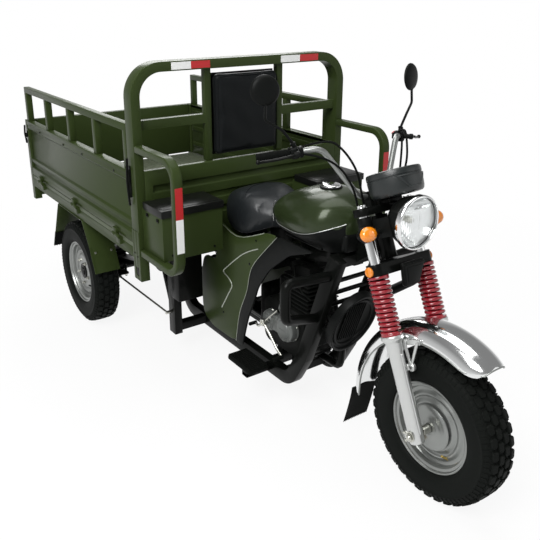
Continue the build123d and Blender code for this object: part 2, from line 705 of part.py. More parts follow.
def main_frame():
    pieces = []
    half = FRAME_SPREAD / 2
    for side in (-1, 1):
        pieces.append(bent_bar(frame_line(side), FRAME_BEND, (0, 1, 0), FRAME_WIDTH, FRAME_DEPTH))
        rail_y = side * RAIL_SPREAD / 2
        pieces.append(block(BED_REAR_X, HOOP_REAR_X, rail_y - RAIL_WIDTH / 2, rail_y + RAIL_WIDTH / 2,
                            RAIL_BOTTOM, SILL_BOTTOM))
        post_y = side * HANGER_SPREAD / 2
        pieces.append(block(HANGER_X - HANGER_DEPTH / 2, HANGER_X + HANGER_DEPTH / 2, post_y - HANGER_WIDTH / 2,
                            post_y + HANGER_WIDTH / 2, FRAME_LOW_Z - 30, RAIL_BOTTOM + 1))
        pieces.append(flat_bar((HANGER_X - STRUT_REACH, post_y, RAIL_BOTTOM + 2), (HANGER_X, post_y, FRAME_LOW_Z + 60),
                               (0, 1, 0), STRUT_SIZE, STRUT_SIZE))
    reach = RAIL_SPREAD / 2
    for x in (BED_REAR_X + 60, FRAME_HEEL_X - 130, HANGER_X, HOOP_REAR_X - 20):
        pieces.append(block(x - 20, x + 20, -reach, reach, RAIL_BOTTOM, SILL_BOTTOM - 12))
    pieces.append(block(HANGER_X - 20, HANGER_X + 20, -HANGER_SPREAD / 2, HANGER_SPREAD / 2,
                        FRAME_LOW_Z - 20, FRAME_LOW_Z + 20))
    for x in (FRAME_TOE_X - 60, CRANKCASE_REAR_X + 70):
        pieces.append(block(x - 18, x + 18, -half, half, FRAME_LOW_Z - 18, FRAME_LOW_Z + 18))
        pieces.append(block(x - 18, x + 18, -60, 30, FRAME_LOW_Z, CRANKCASE_BOTTOM))
    for x, z in PANEL_STAYS:
        pieces.append(rod((x, -PANEL_Y, z), (x, PANEL_Y, z), STAY_RADIUS))
    low_x, low_z = PANEL_STAYS[0]
    for side in (-1, 1):
        pieces.append(block(low_x - 12, low_x + 12, side * (half - 10), side * (half + 10), FRAME_LOW_Z, low_z))
    slope = (FRAME_TOP_X - FRAME_KNEE_X) / (FRAME_TOP_Z - FRAME_KNEE_Z)
    for z in RUNG_HEIGHTS:
        x = FRAME_KNEE_X + slope * (z - FRAME_KNEE_Z)
        pieces.append(rod((x, -half, z), (x, half, z), RUNG_RADIUS))
    head_low = STEER.from_local_coords(Vector(-FORK_OFFSET, 0, LOWER_CLAMP + LOWER_CLAMP_HEIGHT + HEAD_GAP))
    head_high = STEER.from_local_coords(Vector(-FORK_OFFSET, 0, UPPER_CLAMP - HEAD_GAP))
    neck = (head_low + head_high) * 0.5
    pieces.append(rod(tuple(head_low), tuple(head_high), HEAD_RADIUS))
    pieces.append(flat_bar((neck.X - 10, 0, neck.Z - 25), (FRAME_TOP_X - 40, 0, FRAME_TOP_Z - 22), (0, 1, 0),
                           SPINE_WIDTH, 60))
    spine_front = Vector(FRAME_TOP_X - 20, 0, FRAME_TOP_Z - 30)
    spine_rear = Vector(HOOP_REAR_X - 20, 0, RAIL_BOTTOM)
    pieces.append(flat_bar(tuple(spine_front), tuple(spine_rear), (0, 1, 0), SPINE_WIDTH, SPINE_DEPTH))
    spine_slope = (spine_front.Z - spine_rear.Z) / (spine_front.X - spine_rear.X)
    for x, top in ((SEAT_REAR_X + 60, SEAT_BOTTOM), (SEAT_FRONT_X - 60, SEAT_BOTTOM),
                   (TRIM_REAR_X + 30, TANK_BOTTOM - TRIM_HEIGHT), (TRIM_FRONT_X - 40, TANK_BOTTOM - TRIM_HEIGHT)):
        spine_z = spine_rear.Z + spine_slope * (x - spine_rear.X)
        pieces.append(block(x - 14, x + 14, -50, 50, spine_z, top))
    pieces.append(block(FRAME_TOP_X - 50, FRAME_TOP_X - 6, -half, half, FRAME_TOP_Z - 45, FRAME_TOP_Z - 5))
    frame = join(pieces)
    bore = rod(tuple(head_low - STEER.z_dir * 5), tuple(head_high + STEER.z_dir * 5), STEM_RADIUS + 0.5)
    return frame - bore


def engine():
    half = CRANKCASE_WIDTH / 2
    case = block(CRANKCASE_REAR_X, CRANKCASE_FRONT_X, -half, half, CRANKCASE_BOTTOM, CRANKCASE_TOP)
    case = fillet(case.edges().filter_by(Axis.Y), 45)
    top = CRANKCASE_TOP + FIN_COUNT * FIN_PITCH
    reach = CYLINDER_WIDTH / 2
    barrel = block(CYLINDER_X - reach, CYLINDER_X + reach, -reach, reach, CRANKCASE_TOP - 2, top + HEAD_BLOCK_HEIGHT)
    pieces = [case, barrel]
    wide = FIN_WIDTH / 2
    for fin in range(FIN_COUNT):
        z = CRANKCASE_TOP + (fin + 0.5) * FIN_PITCH
        pieces.append(block(CYLINDER_X - wide, CYLINDER_X + wide, -wide, wide, z, z + FIN_WALL))
    return join(pieces)


def engine_covers():
    face = CRANKCASE_WIDTH / 2
    pieces = []
    for x, z, radius, depth in COVERS:
        pieces.append(rod((x, face, z), (x, face + COVER_DEPTH * depth, z), radius))
    return both(join(pieces))


def exhaust():
    port_z = CRANKCASE_TOP + FIN_COUNT * FIN_PITCH + HEAD_BLOCK_HEIGHT / 2
    front = CYLINDER_X + CYLINDER_WIDTH / 2
    under = (FRAME_LOW_Z + 18 + CRANKCASE_BOTTOM) / 2
    pipe = bent_tube([
        (front, 0, port_z), (front + 60, 0, port_z), (front + 52, 45, 430), (front + 100, 50, 330),
        (front + 80, 55, under), (HANGER_X + 60, 60, under), (HANGER_X - 80, MUFFLER_Y, MUFFLER_Z),
        (MUFFLER_FRONT_X, MUFFLER_Y, MUFFLER_Z),
    ], 34, PIPE_RADIUS)
    muffler_end = (MUFFLER_FRONT_X - MUFFLER_LENGTH, MUFFLER_Y, MUFFLER_Z)
    muffler = rod((MUFFLER_FRONT_X, MUFFLER_Y, MUFFLER_Z), muffler_end, MUFFLER_RADIUS)
    return pipe + muffler


def grille_disc():
    """The oval grille ahead of the down bars, with the four blocks that stand it off them."""
    lean = degrees(atan2(FRAME_TOP_X - FRAME_KNEE_X, FRAME_TOP_Z - FRAME_KNEE_Z))
    slope = tan(radians(lean))
    ahead = FRAME_DEPTH / 2 + GRILLE_STAND + GRILLE_DEPTH / 2
    x = FRAME_KNEE_X + slope * (GRILLE_Z - FRAME_KNEE_Z) + ahead * cos(radians(lean))
    place = Pos(x, 0, GRILLE_Z - ahead * sin(radians(lean))) * Rot(0, 90 + lean, 0)
    back = -GRILLE_DEPTH / 2
    shell = extrude(Pos(0, 0, back) * Ellipse(GRILLE_HEIGHT / 2, GRILLE_WIDTH / 2), GRILLE_DEPTH)
    dish = Ellipse(GRILLE_HEIGHT / 2 - GRILLE_RIM, GRILLE_WIDTH / 2 - GRILLE_RIM)
    pieces = [shell - extrude(Pos(0, 0, back + 8) * dish, GRILLE_DEPTH)]
    for step in (-2, -1, 0, 1, 2):
        across = step * GRILLE_BAR_PITCH
        length = GRILLE_HEIGHT * (1 - (2 * across / GRILLE_WIDTH) ** 2) ** 0.5 - GRILLE_RIM
        pieces.append(Pos(0, across, GRILLE_DEPTH / 2 - 13) * Box(length, 8, 10))
    reach = (FRAME_SPREAD - FRAME_WIDTH) / 2
    for along in (-30, 30):
        for side in (-1, 1):
            stand = block(along - 8, along + 8, side * (reach - 6), side * (reach + 8), back - GRILLE_STAND, back + 1)
            pieces.append(stand)
    return place * join(pieces)


def crash_bars():
    inner = FRAME_SPREAD / 2 + FRAME_WIDTH / 2
    outer = CRASH_SPREAD / 2
    slope = (FRAME_TOP_X - FRAME_KNEE_X) / (FRAME_TOP_Z - FRAME_KNEE_Z)
    top_x = FRAME_KNEE_X + slope * (CRASH_TOP_Z - FRAME_KNEE_Z)
    foot_x = FRAME_KNEE_X + slope * (CRASH_FOOT_Z - FRAME_KNEE_Z)
    points = [
        (top_x, inner - 25, CRASH_TOP_Z), (CRASH_X, outer, CRASH_CORNER_Z), (CRASH_X, outer, CRASH_LOW_Z),
        (foot_x, inner - 25, CRASH_FOOT_Z),
    ]
    tube = bent_tube(points, CRASH_BEND, CRASH_TUBE_RADIUS)
    return both(tube - block(FRAME_TOE_X, WHEELBASE, 0, inner, 0, GUARD_TOP))


def footrests():
    pad = Pos(FOOT_PAD_X, FOOT_PAD_Y, FOOT_PAD_Z) * Box(FOOT_PAD_LENGTH, FOOT_PAD_WIDTH, FOOT_PAD_WALL)
    inner = FRAME_SPREAD / 2 + FRAME_WIDTH / 2
    arm = block(FOOT_PAD_X - 20, FOOT_PAD_X + 20, inner, FOOT_PAD_Y + 20, FRAME_LOW_Z + 4, FRAME_LOW_Z + 26)
    leg = block(FOOT_PAD_X - 20, FOOT_PAD_X + 20, FOOT_PAD_Y - 20, FOOT_PAD_Y + 20, FRAME_LOW_Z + 4, FOOT_PAD_Z)
    return both(pad + arm + leg)


def foot_controls():
    face = CRANKCASE_WIDTH / 2 + COVER_DEPTH * 0.8
    pieces = []
    for side in (-1, 1):
        arm = side * (face + 19)
        shaft = rod((PEDAL_X, side * face, PEDAL_Z), (PEDAL_X, side * (face + 24), PEDAL_Z), 10)
        lever = flat_bar((PEDAL_X, arm, PEDAL_Z), (PEDAL_FRONT_X, arm, PEDAL_LOW_Z), (0, 1, 0), PEDAL_WALL, 2 * PEDAL_WALL)
        peg = rod((PEDAL_FRONT_X, side * (face + 16), PEDAL_LOW_Z), (PEDAL_FRONT_X, side * (face + 66), PEDAL_LOW_Z), 8)
        pieces.append(shaft + lever + peg)
    return pieces[0] + pieces[1]


# Saddle, tank and panels
def tank_ring(x, half_width, low, high, top_half):
    shoulder = low + (high - low) * 0.42
    waist = shoulder + (high - shoulder) * 0.55
    right = [
        (half_width * 0.8, low), (half_width, shoulder), (half_width * 0.9, waist), (top_half, high - 8), (0, high),
    ]
    left = [(-y, z) for y, z in reversed(right[:-1])]
    return [(x, y, z) for y, z in right + left]


def fuel_tank():
    return facetted([tank_ring(*row) for row in TANK_SECTIONS])


def tank_trim():
    half = TRIM_WIDTH / 2
    return block(TRIM_REAR_X, TRIM_FRONT_X, -half, half, TANK_BOTTOM - TRIM_HEIGHT, TANK_BOTTOM)


def filler_cap():
    return Pos(CAP_X, 0, TANK_TOP + SLIP + CAP_HEIGHT / 2) * Cylinder(CAP_RADIUS, CAP_HEIGHT)


def seat_ring(x, half, skirt, crown):
    right = [(half * 0.6, SEAT_BOTTOM), (half, skirt), (half * 1.02, (skirt + crown) / 2), (half * 0.78, crown - 26),
             (half * 0.4, crown - 5)]
    left = [(-y, z) for y, z in reversed(right)]
    return [(x, y, z) for y, z in right + left]


def seat():
    return facetted([seat_ring(*row) for row in SEAT_SECTIONS])


def side_plates(edge):
    plane = Plane(origin=(0, PANEL_Y, 0), x_dir=(1, 0, 0), z_dir=(0, -1, 0))
    return both(extrude(plane * outline(edge), -PANEL_WALL))


# Cargo bed
def bed_frame():
    half = HALF_BED
    pieces = []
    for side in (-1, 1):
        pieces.append(block(BED_REAR_X, HOOP_REAR_X, side * (half - SILL_WIDTH), side * half, SILL_BOTTOM,
                            FLOOR_TOP - FLOOR_WALL))
        pieces.append(block(BED_REAR_X - POST_DEPTH, BED_REAR_X, side * (half - HOOP_TUBE), side * half, POST_BOTTOM,
                            GATE_TOP))
        for x in hinge_stations():
            pieces.append(knuckle(x + HINGE_LENGTH + HINGE_GAP, HINGE_LENGTH, side, SILL_BOTTOM + 30))
    for x in (BED_REAR_X + 30, -320, 0, 320, 600):
        pieces.append(block(x - 25, x + 25, -half + SILL_WIDTH - 1, half - SILL_WIDTH + 1, SILL_BOTTOM,
                            FLOOR_TOP - FLOOR_WALL))
    pieces.append(block(BED_REAR_X - POST_DEPTH, BED_REAR_X, -half + 1, half - 1, SILL_BOTTOM - 60, SILL_BOTTOM + 48))
    for y in tail_hinge_stations():
        pieces.append(tail_knuckle(y + HINGE_LENGTH + HINGE_GAP, HINGE_LENGTH, SILL_BOTTOM + 20))
    frame = join(pieces)
    for side in (-1, 1):
        y = side * PLATE_HOLE_SPACING / 2
        frame = frame - rod((BED_REAR_X - POST_DEPTH - 1, y, PLATE_Z), (BED_REAR_X + 1, y, PLATE_Z), PLATE_HOLE_RADIUS)
    return frame


def hinge_z():
    return FLOOR_TOP - 4


def hinge_stations():
    length = HOOP_REAR_X - BED_REAR_X
    return [BED_REAR_X + length * share for share in (0.12, 0.5, 0.88)]


def tail_hinge_stations():
    return [-HALF_BED * 0.55, HALF_BED * 0.55]


def knuckle(x, length, side, reach_z):
    """A hinge barrel on the bed's side with the leaf that runs from it to the height reach_z."""
    y = side * (HALF_BED + HINGE_OFFSET)
    barrel = rod((x - length / 2, y, hinge_z()), (x + length / 2, y, hinge_z()), HINGE_RADIUS)
    leaf = block(x - length / 2, x + length / 2, side * HALF_BED, y, min(reach_z, hinge_z()), max(reach_z, hinge_z()))
    return barrel + leaf


def tail_knuckle(y, length, reach_z):
    x = BED_REAR_X - POST_DEPTH - HINGE_OFFSET
    barrel = rod((x, y - length / 2, hinge_z()), (x, y + length / 2, hinge_z()), HINGE_RADIUS)
    leaf = block(x, x + HINGE_OFFSET, y - length / 2, y + length / 2, min(reach_z, hinge_z()), max(reach_z, hinge_z()))
    return barrel + leaf


def bed_floor():
    inner = HALF_BED - HOOP_TUBE - SLIP
    floor = block(BED_REAR_X, HOOP_REAR_X - SLIP, -HALF_BED + 1, HALF_BED - 1, FLOOR_TOP - FLOOR_WALL, FLOOR_TOP)
    return floor + block(0, HOOP_FRONT_X - FRONT_WALL, -inner, inner, FLOOR_TOP - FLOOR_WALL, FLOOR_TOP)


def bed_front_wall():
    inner = HALF_BED - HOOP_TUBE
    wall = block(HOOP_FRONT_X - FRONT_WALL, HOOP_FRONT_X, -inner, inner, SILL_BOTTOM, GATE_TOP)
    for z in (FLOOR_TOP + 90, FLOOR_TOP + 160, FLOOR_TOP + 230):
        wall = wall - block(HOOP_FRONT_X - 10, HOOP_FRONT_X + 1, -inner + 40, inner - 40, z, z + 30)
    return wall


def hoop():
    y = HALF_BED - HOOP_TUBE / 2
    top = HOOP_TOP - HOOP_TUBE / 2
    points = [(HOOP_X, -y, HOOP_FOOT), (HOOP_X, -y, top), (HOOP_X, y, top), (HOOP_X, y, HOOP_FOOT)]
    pieces = [bent_bar(points, HOOP_BEND, (1, 0, 0), HOOP_DEPTH, HOOP_TUBE)]
    low = BRACE_Z - BRACE_HEIGHT / 2
    stile = STILE_SPREAD / 2
    for side in (-1, 1):
        pieces.append(block(HOOP_X - 15, HOOP_X + 15, side * (stile - STILE_WIDTH / 2), side * (stile + STILE_WIDTH / 2),
                            GATE_TOP, HOOP_TOP - HOOP_TUBE + 1))
        pieces.append(block(HOOP_X - 15, HOOP_X + 15, side * stile, side * (y - HOOP_TUBE / 2 + 1), low,
                            low + BRACE_HEIGHT))
    return join(pieces)


def backrest():
    half = STILE_SPREAD / 2 - STILE_WIDTH / 2 - SLIP
    pad = block(HOOP_X - 12, HOOP_X - 12 + PAD_DEPTH, -half, half, PAD_BOTTOM, PAD_TOP)
    return fillet(pad.edges().filter_by(Axis.X), 18)


def side_guards():
    y = HALF_BED - HOOP_TUBE / 2
    front = GUARD_FRONT_X - GUARD_TUBE / 2
    top = GUARD_TOP - GUARD_TUBE / 2
    low = GUARD_BOTTOM + GUARD_TUBE / 2
    points = [(HOOP_FRONT_X, y, top), (front, y, top), (front, y, low), (HOOP_FRONT_X, y, low)]
    return both(bent_bar(points, GUARD_BEND, (0, 1, 0), HOOP_TUBE, GUARD_TUBE))


def lid_axis():
    return HOOP_FRONT_X + LID_AXIS_GAP, LID_TOP - LID_EDGE_GAP


def lid_knuckles(shift):
    """Hinge barrels of the left lid, moved along the hinge by shift."""
    x, z = lid_axis()
    middle = (BOX_INNER_Y + BOX_OUTER_Y) / 2
    barrels = []
    for y in (middle - 0.3 * (BOX_OUTER_Y - BOX_INNER_Y), middle + 0.3 * (BOX_OUTER_Y - BOX_INNER_Y)):
        start = y + shift
        barrels.append((start, start + LID_KNUCKLE, rod((x, start, z), (x, start + LID_KNUCKLE, z), LID_HINGE_RADIUS)))
    return barrels


def toolboxes():
    x, z = lid_axis()
    shell = block(HOOP_FRONT_X, BOX_FRONT_X, BOX_INNER_Y, BOX_OUTER_Y, BOX_BOTTOM, BOX_TOP)
    inside = block(HOOP_FRONT_X + BOX_WALL, BOX_FRONT_X - BOX_WALL, BOX_INNER_Y + BOX_WALL, BOX_OUTER_Y - BOX_WALL,
                   BOX_BOTTOM + BOX_WALL, BOX_TOP + 1)
    shelf = block(HOOP_FRONT_X, x + LID_EDGE_GAP + LID_WALL, BOX_INNER_Y, BOX_OUTER_Y, BOX_TOP - BOX_WALL, BOX_TOP)
    pieces = [shell - inside, shelf]
    for start, end, barrel in lid_knuckles(0):
        pieces.append(barrel)
        pieces.append(block(HOOP_FRONT_X, x, start, end, BOX_TOP - 1, z))
    return both(join(pieces))


def toolbox_lid(side):
    x, z = lid_axis()
    back = x + LID_EDGE_GAP
    front = BOX_FRONT_X + LID_OVERHANG
    near = BOX_INNER_Y - LID_OVERHANG
    far = BOX_OUTER_Y + LID_OVERHANG
    shell = block(back, front, near, far, BOX_TOP + LID_SEAT, LID_TOP)
    inside = block(back + LID_WALL, front - LID_WALL, near + LID_WALL, far - LID_WALL, BOX_TOP, LID_TOP - LID_WALL)
    pieces = [shell - inside]
    for start, end, barrel in lid_knuckles(LID_KNUCKLE + HINGE_GAP):
        pieces.append(barrel)
        pieces.append(block(x, back + LID_WALL, start, end, z, z + LID_HINGE_RADIUS))
    lid = join(pieces)
    return lid if side > 0 else mirror(lid, about=Plane.XZ)


def gate_profile():
    """Pressed section of a drop side across its thickness, as (depth from the outer face, height)."""
    low = FLOOR_TOP + GATE_FLOOR_GAP
    rows = ((low, 0), (low + 42, 0), (low + 50, GATE_RECESS), (low + 70, GATE_RECESS), (low + 78, 2), (low + 96, 2),
            (low + 104, GATE_RECESS), (GATE_TOP - 58, GATE_RECESS), (GATE_TOP - 46, 0), (GATE_TOP, 0))
    return [(depth, height) for height, depth in rows] + [(GATE_WALL, GATE_TOP), (GATE_WALL, low)]


def side_gate(side):
    start = BED_REAR_X + GATE_GAP
    end = HOOP_REAR_X - GATE_GAP
    plane = Plane(origin=(start, side * HALF_BED, 0), x_dir=(0, -side, 0), z_dir=(-side, 0, 0))
    panel = extrude(plane * outline(gate_profile()), -side * (end - start))
    outer = side * HALF_BED
    inner = side * (HALF_BED - GATE_WALL)
    pieces = [panel]
    pieces.append(block(start, end, outer, inner, RAIL_TOP - RAIL_TUBE, RAIL_TOP))
    run = end - start - UPRIGHT_WIDTH
    for step in range(UPRIGHTS):
        x = start + run * step / (UPRIGHTS - 1)
        pieces.append(block(x, x + UPRIGHT_WIDTH, outer, inner, GATE_TOP - 1, RAIL_TOP - RAIL_TUBE + 1))
    for x in hinge_stations():
        pieces.append(knuckle(x, HINGE_LENGTH, side, FLOOR_TOP + 26))
    return join(pieces)


def tailgate():
    inner = HALF_BED - HOOP_TUBE - GATE_GAP
    outer_x = BED_REAR_X - POST_DEPTH
    plane = Plane(origin=(outer_x, inner, 0), x_dir=(1, 0, 0), z_dir=(0, -1, 0))
    panel = extrude(plane * outline(gate_profile()), 2 * inner)
    pieces = [panel]
    for y in tail_hinge_stations():
        pieces.append(tail_knuckle(y, HINGE_LENGTH, FLOOR_TOP + 36))
    return join(pieces)


def tail_lamps():
    y = HALF_BED - TAIL_LAMP_INSET
    back = BED_REAR_X - POST_DEPTH
    top = SILL_BOTTOM - TAIL_LAMP_GAP
    return both(block(back - LAMP_PROUD, back, y - TAIL_LAMP_LENGTH / 2, y + TAIL_LAMP_LENGTH / 2, top - TAIL_LAMP_HEIGHT, top))


def rear_mudguards():
    """Bent plates over the rear wheel, hung from the sill, with the flaps behind and ahead of it."""
    inside = [(x, z) for x, z in MUDGUARD_REAR[:-1] + MUDGUARD_FRONT[1:]]
    rear_x, top = MUDGUARD_REAR[-1]
    front_x, _ = MUDGUARD_FRONT[0]
    inside[2:2] = [(rear_x, top - MUDGUARD_WALL), (front_x, top - MUDGUARD_WALL)]
    outside = [(x + MUDGUARD_WALL, z) for x, z in reversed(MUDGUARD_FRONT)]
    outside = outside + [(x - MUDGUARD_WALL, z) for x, z in reversed(MUDGUARD_REAR)]
    plane = Plane(origin=(0, MUDGUARD_INNER_Y, 0), x_dir=(1, 0, 0), z_dir=(0, -1, 0))
    return both(extrude(plane * outline(inside + outside), MUDGUARD_INNER_Y - MUDGUARD_OUTER_Y))


# Rear axle
def rear_axle():
    inner = REAR_TRACK / 2 - hub_back() - RUNNING_GAP
    pieces = [rod((0, -inner, AXLE_Z), (0, inner, AXLE_Z), AXLE_TUBE_RADIUS)]
    pieces.append(rod((0, -DIFF_WIDTH / 2, AXLE_Z), (0, DIFF_WIDTH / 2, AXLE_Z), DIFF_RADIUS))
    end = REAR_TRACK / 2 + RIM_WIDTH / 2 - DISC_DEPTH + STEP_RISE
    pieces.append(rod((0, -end, AXLE_Z), (0, end, AXLE_Z), AXLE_RADIUS))
    pieces.append(rod((0, 0, AXLE_Z), (NOSE_LENGTH, 0, AXLE_Z), NOSE_RADIUS))
    for side in (-1, 1):
        pieces.append(rod((0, side * (inner - BRAKE_PLATE_WALL), AXLE_Z), (0, side * inner, AXLE_Z), BRAKE_PLATE_RADIUS))
    return join(pieces)


def leaf_springs():
    base = AXLE_Z + AXLE_TUBE_RADIUS
    pieces = []
    for leaf in range(LEAF_COUNT):
        length = LEAF_LENGTH - leaf * LEAF_STEP
        low = base + (LEAF_COUNT - 1 - leaf) * LEAF_WALL
        rise = LEAF_SAG * (length / LEAF_LENGTH) ** 2
        half = length / 2
        path = ThreePointArc((-half, 0, low + rise), (0, 0, low), (half, 0, low + rise))
        top = ThreePointArc((-half, 0, low + rise + LEAF_WALL), (0, 0, low + LEAF_WALL), (half, 0, low + rise + LEAF_WALL))
        ends = [Line(path @ 0, top @ 0), Line(path @ 1, top @ 1)]
        face = make_face([path, top] + ends)
        pieces.append(extrude(face, LEAF_WIDTH / 2, both=True))
    eye_z = base + LEAF_SAG + (LEAF_COUNT - 1) * LEAF_WALL + LEAF_WALL / 2
    half = LEAF_LENGTH / 2
    for end in (-1, 1):
        pieces.append(rod((end * half, -LEAF_WIDTH / 2, eye_z), (end * half, LEAF_WIDTH / 2, eye_z), 14))
        pieces.append(block(end * half - 12, end * half + 12, -LEAF_WIDTH / 2, LEAF_WIDTH / 2, eye_z, RAIL_BOTTOM))
    return both(Pos(0, SPRING_Y, 0) * join(pieces))


def brake_rods():
    """The thin rods from the hangers back to the rear brake plates."""
    rear_x, rear_z = BRAKE_ROD_REAR
    front_x, front_z = BRAKE_ROD_FRONT
    hanger_y = (HANGER_SPREAD + HANGER_WIDTH) / 2
    plate_y = REAR_TRACK / 2 - hub_back() - RUNNING_GAP - BRAKE_PLATE_WALL
    run = rod((front_x, BRAKE_ROD_Y, front_z), (rear_x, BRAKE_ROD_Y, rear_z), BRAKE_ROD_RADIUS)
    pivot = rod((front_x, hanger_y, front_z), (front_x, BRAKE_ROD_Y + 8, front_z), BRAKE_ROD_RADIUS + 3)
    arm = rod((rear_x, BRAKE_ROD_Y - 6, rear_z), (rear_x, plate_y, rear_z), BRAKE_ROD_RADIUS + 2)
    return both(run + pivot + arm)


def battery_box():
    return block(BATTERY_REAR_X, BATTERY_FRONT_X, -BATTERY_OUTER_Y, -BATTERY_INNER_Y, BATTERY_BOTTOM, RAIL_BOTTOM)


def drive_shaft():
    return rod((CRANKCASE_REAR_X, 0, AXLE_Z), (NOSE_LENGTH, 0, AXLE_Z), SHAFT_RADIUS)


NODES = {
    "triple_clamps": triple_clamps(),
    "fork_tubes": fork_tubes(),
    "fork_sliders": fork_sliders(),
    "fork_springs": fork_springs(),
    "front_axle": front_axle(),
    "handlebar": handlebar(),
    "hand_controls": hand_controls(),
    "control_cables": control_cables(),
    "mirrors": mirrors(),
    "instrument_pod": instrument_pod(),
    "headlamp_shell": headlamp_shell(),
    "headlamp_rim": headlamp_rim(),
    "headlamp_lens": headlamp_lens(),
    "amber_lenses": amber_lenses(),
    "horn_cover": horn_cover(),
    "front_fender": front_fender(),
    "fender_stays": fender_stays(),
    "fender_flap": fender_flap(),
    "front_tyre": at_front(tyre()),
    "front_rim": at_front(rim()),
    "front_hub": at_front(hub(AXLE_RADIUS + AXLE_GAP, hub_back())),
    "main_frame": main_frame(),
    "engine": engine(),
    "engine_covers": engine_covers(),
    "exhaust": exhaust(),
    "grille_disc": grille_disc(),
    "crash_bars": crash_bars(),
    "footrests": footrests(),
    "foot_controls": foot_controls(),
    "fuel_tank": fuel_tank(),
    "tank_trim": tank_trim(),
    "filler_cap": filler_cap(),
    "seat": seat(),
    "body_panels": side_plates(PANEL_EDGE),
    "panel_arches": side_plates(ARCH_EDGE),
    "bed_frame": bed_frame(),
    "bed_floor": bed_floor(),
    "bed_front_wall": bed_front_wall(),
    "hoop": hoop(),
    "backrest": backrest(),
    "side_guards": side_guards(),
    "toolboxes": toolboxes(),
    "rear_mudguards": rear_mudguards(),
    "rear_axle": rear_axle(),
    "leaf_springs": leaf_springs(),
    "brake_rods": brake_rods(),
    "battery_box": battery_box(),
    "drive_shaft": drive_shaft(),
    "tail_lamps": tail_lamps(),
    "tailgate": tailgate(),
}
for name, side in (("right", -1), ("left", 1)):
    NODES["side_gate_" + name] = side_gate(side)
    NODES["toolbox_lid_" + name] = toolbox_lid(side)
    NODES["rear_tyre_" + name] = at_rear(tyre(), side)
    NODES["rear_rim_" + name] = at_rear(rim(), side)
    NODES["rear_hub_" + name] = at_rear(hub(AXLE_RADIUS + AXLE_GAP, hub_back()), side)

os.makedirs("parts", exist_ok=True)
for node, part in NODES.items():
    export_step(Pos(-MIDDLE_X, 0, 0) * part, "parts/" + node + ".step")
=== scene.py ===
import json
import math
import bmesh
import bpy
from mathutils import Matrix, Vector, bvhtree


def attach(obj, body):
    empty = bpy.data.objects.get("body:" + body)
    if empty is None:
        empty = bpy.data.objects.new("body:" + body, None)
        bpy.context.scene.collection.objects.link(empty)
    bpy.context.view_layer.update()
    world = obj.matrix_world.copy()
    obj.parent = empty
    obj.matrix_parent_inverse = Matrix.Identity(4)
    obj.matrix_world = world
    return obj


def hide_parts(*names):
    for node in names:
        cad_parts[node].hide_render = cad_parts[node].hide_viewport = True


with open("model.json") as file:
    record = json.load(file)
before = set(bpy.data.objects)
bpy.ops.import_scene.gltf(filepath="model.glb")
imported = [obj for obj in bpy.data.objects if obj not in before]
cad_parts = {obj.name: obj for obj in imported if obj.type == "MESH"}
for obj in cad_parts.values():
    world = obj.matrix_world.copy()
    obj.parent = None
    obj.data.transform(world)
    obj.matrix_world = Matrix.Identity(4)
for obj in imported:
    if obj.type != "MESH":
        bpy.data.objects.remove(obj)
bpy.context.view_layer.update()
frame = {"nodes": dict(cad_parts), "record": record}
print("frame loaded:", len(frame["nodes"]), "nodes")


# objects, meshes and shader nodes
def newObject(name, data):
    made = bpy.data.objects.new(name, data)
    bpy.context.scene.collection.objects.link(made)
    return made


def evaluated(holder):
    # the mesh an object has once its modifiers have run
    depsgraph = bpy.context.evaluated_depsgraph_get()
    return bpy.data.meshes.new_from_object(holder.evaluated_get(depsgraph), depsgraph=depsgraph)


def meshFrom(points, faces):
    mesh = bpy.data.meshes.new("raw")
    mesh.from_pydata([tuple(point) for point in points], [], faces)
    return mesh


def setInputs(tree, node, values):
    # each input, by name or number, takes a constant or a link from another node
    for label, value in values.items():
        if isinstance(value, bpy.types.NodeSocket):
            tree.links.new(value, node.inputs[label])
        else:
            node.inputs[label].default_value = value


def addNode(tree, kind, values=None, **options):
    node = tree.nodes.new(kind)
    for label, value in options.items():
        setattr(node, label, value)
    setInputs(tree, node, values or {})
    return node


def mathNode(tree, operation, *values):
    return addNode(tree, "ShaderNodeMath", dict(enumerate(values)), operation=operation).outputs[0]


def newMaterial(name):
    made = bpy.data.materials.new(name)
    made.use_nodes = True
    return made, made.node_tree, made.node_tree.nodes["Principled BSDF"]


# camera, light and floor
cameraSetup = {
    "place": (2.5654, -1.6753, 1.7208),
    "yaw": 145.3,  # degrees from forward, about the vertical
    "pitch": -19.3,
    "lens": 45.07,
    "shift": (0.0148, -0.0741),
    "farthest": 60,
}


def aimed(direction):
    return Vector(direction).to_track_quat("-Z", "Y").to_euler()


def makeCamera(setup):
    yaw, pitch = math.radians(setup["yaw"]), math.radians(setup["pitch"])
    data = bpy.data.cameras.new("photoCamera")
    data.lens = setup["lens"]
    data.shift_x, data.shift_y = setup["shift"]
    data.clip_end = setup["farthest"]
    camera = newObject("photoCamera", data)
    camera.location = setup["place"]
    camera.rotation_euler = aimed(
        (math.cos(yaw) * math.cos(pitch), math.sin(yaw) * math.cos(pitch), math.sin(pitch)))
    bpy.context.scene.camera = camera


lightSetup = {
    "lamps": (  # name, place, aim, size, watts
        ("keySoftbox", (2.2, -3.4, 4.2), (0.2, 0, 0.6), 2.6, 270),
        ("fillSoftbox", (4.2, 2.6, 2.6), (0.4, 0, 0.6), 3.0, 24),
        ("rearSoftbox", (-3.6, 1.6, 3.4), (-0.4, 0, 0.7), 2.6, 110),
        ("topSoftbox", (0, 0, 4.6), (0, 0, 0), 3.4, 110),
    ),
    "worldStrength": 0.13,
    # white walls below a dark ceiling, for what metal reflects: strengths by height
    "ceiling": {"From Min": 0.02, "From Max": 0.45, "To Min": 0.7, "To Max": 0.26},
}


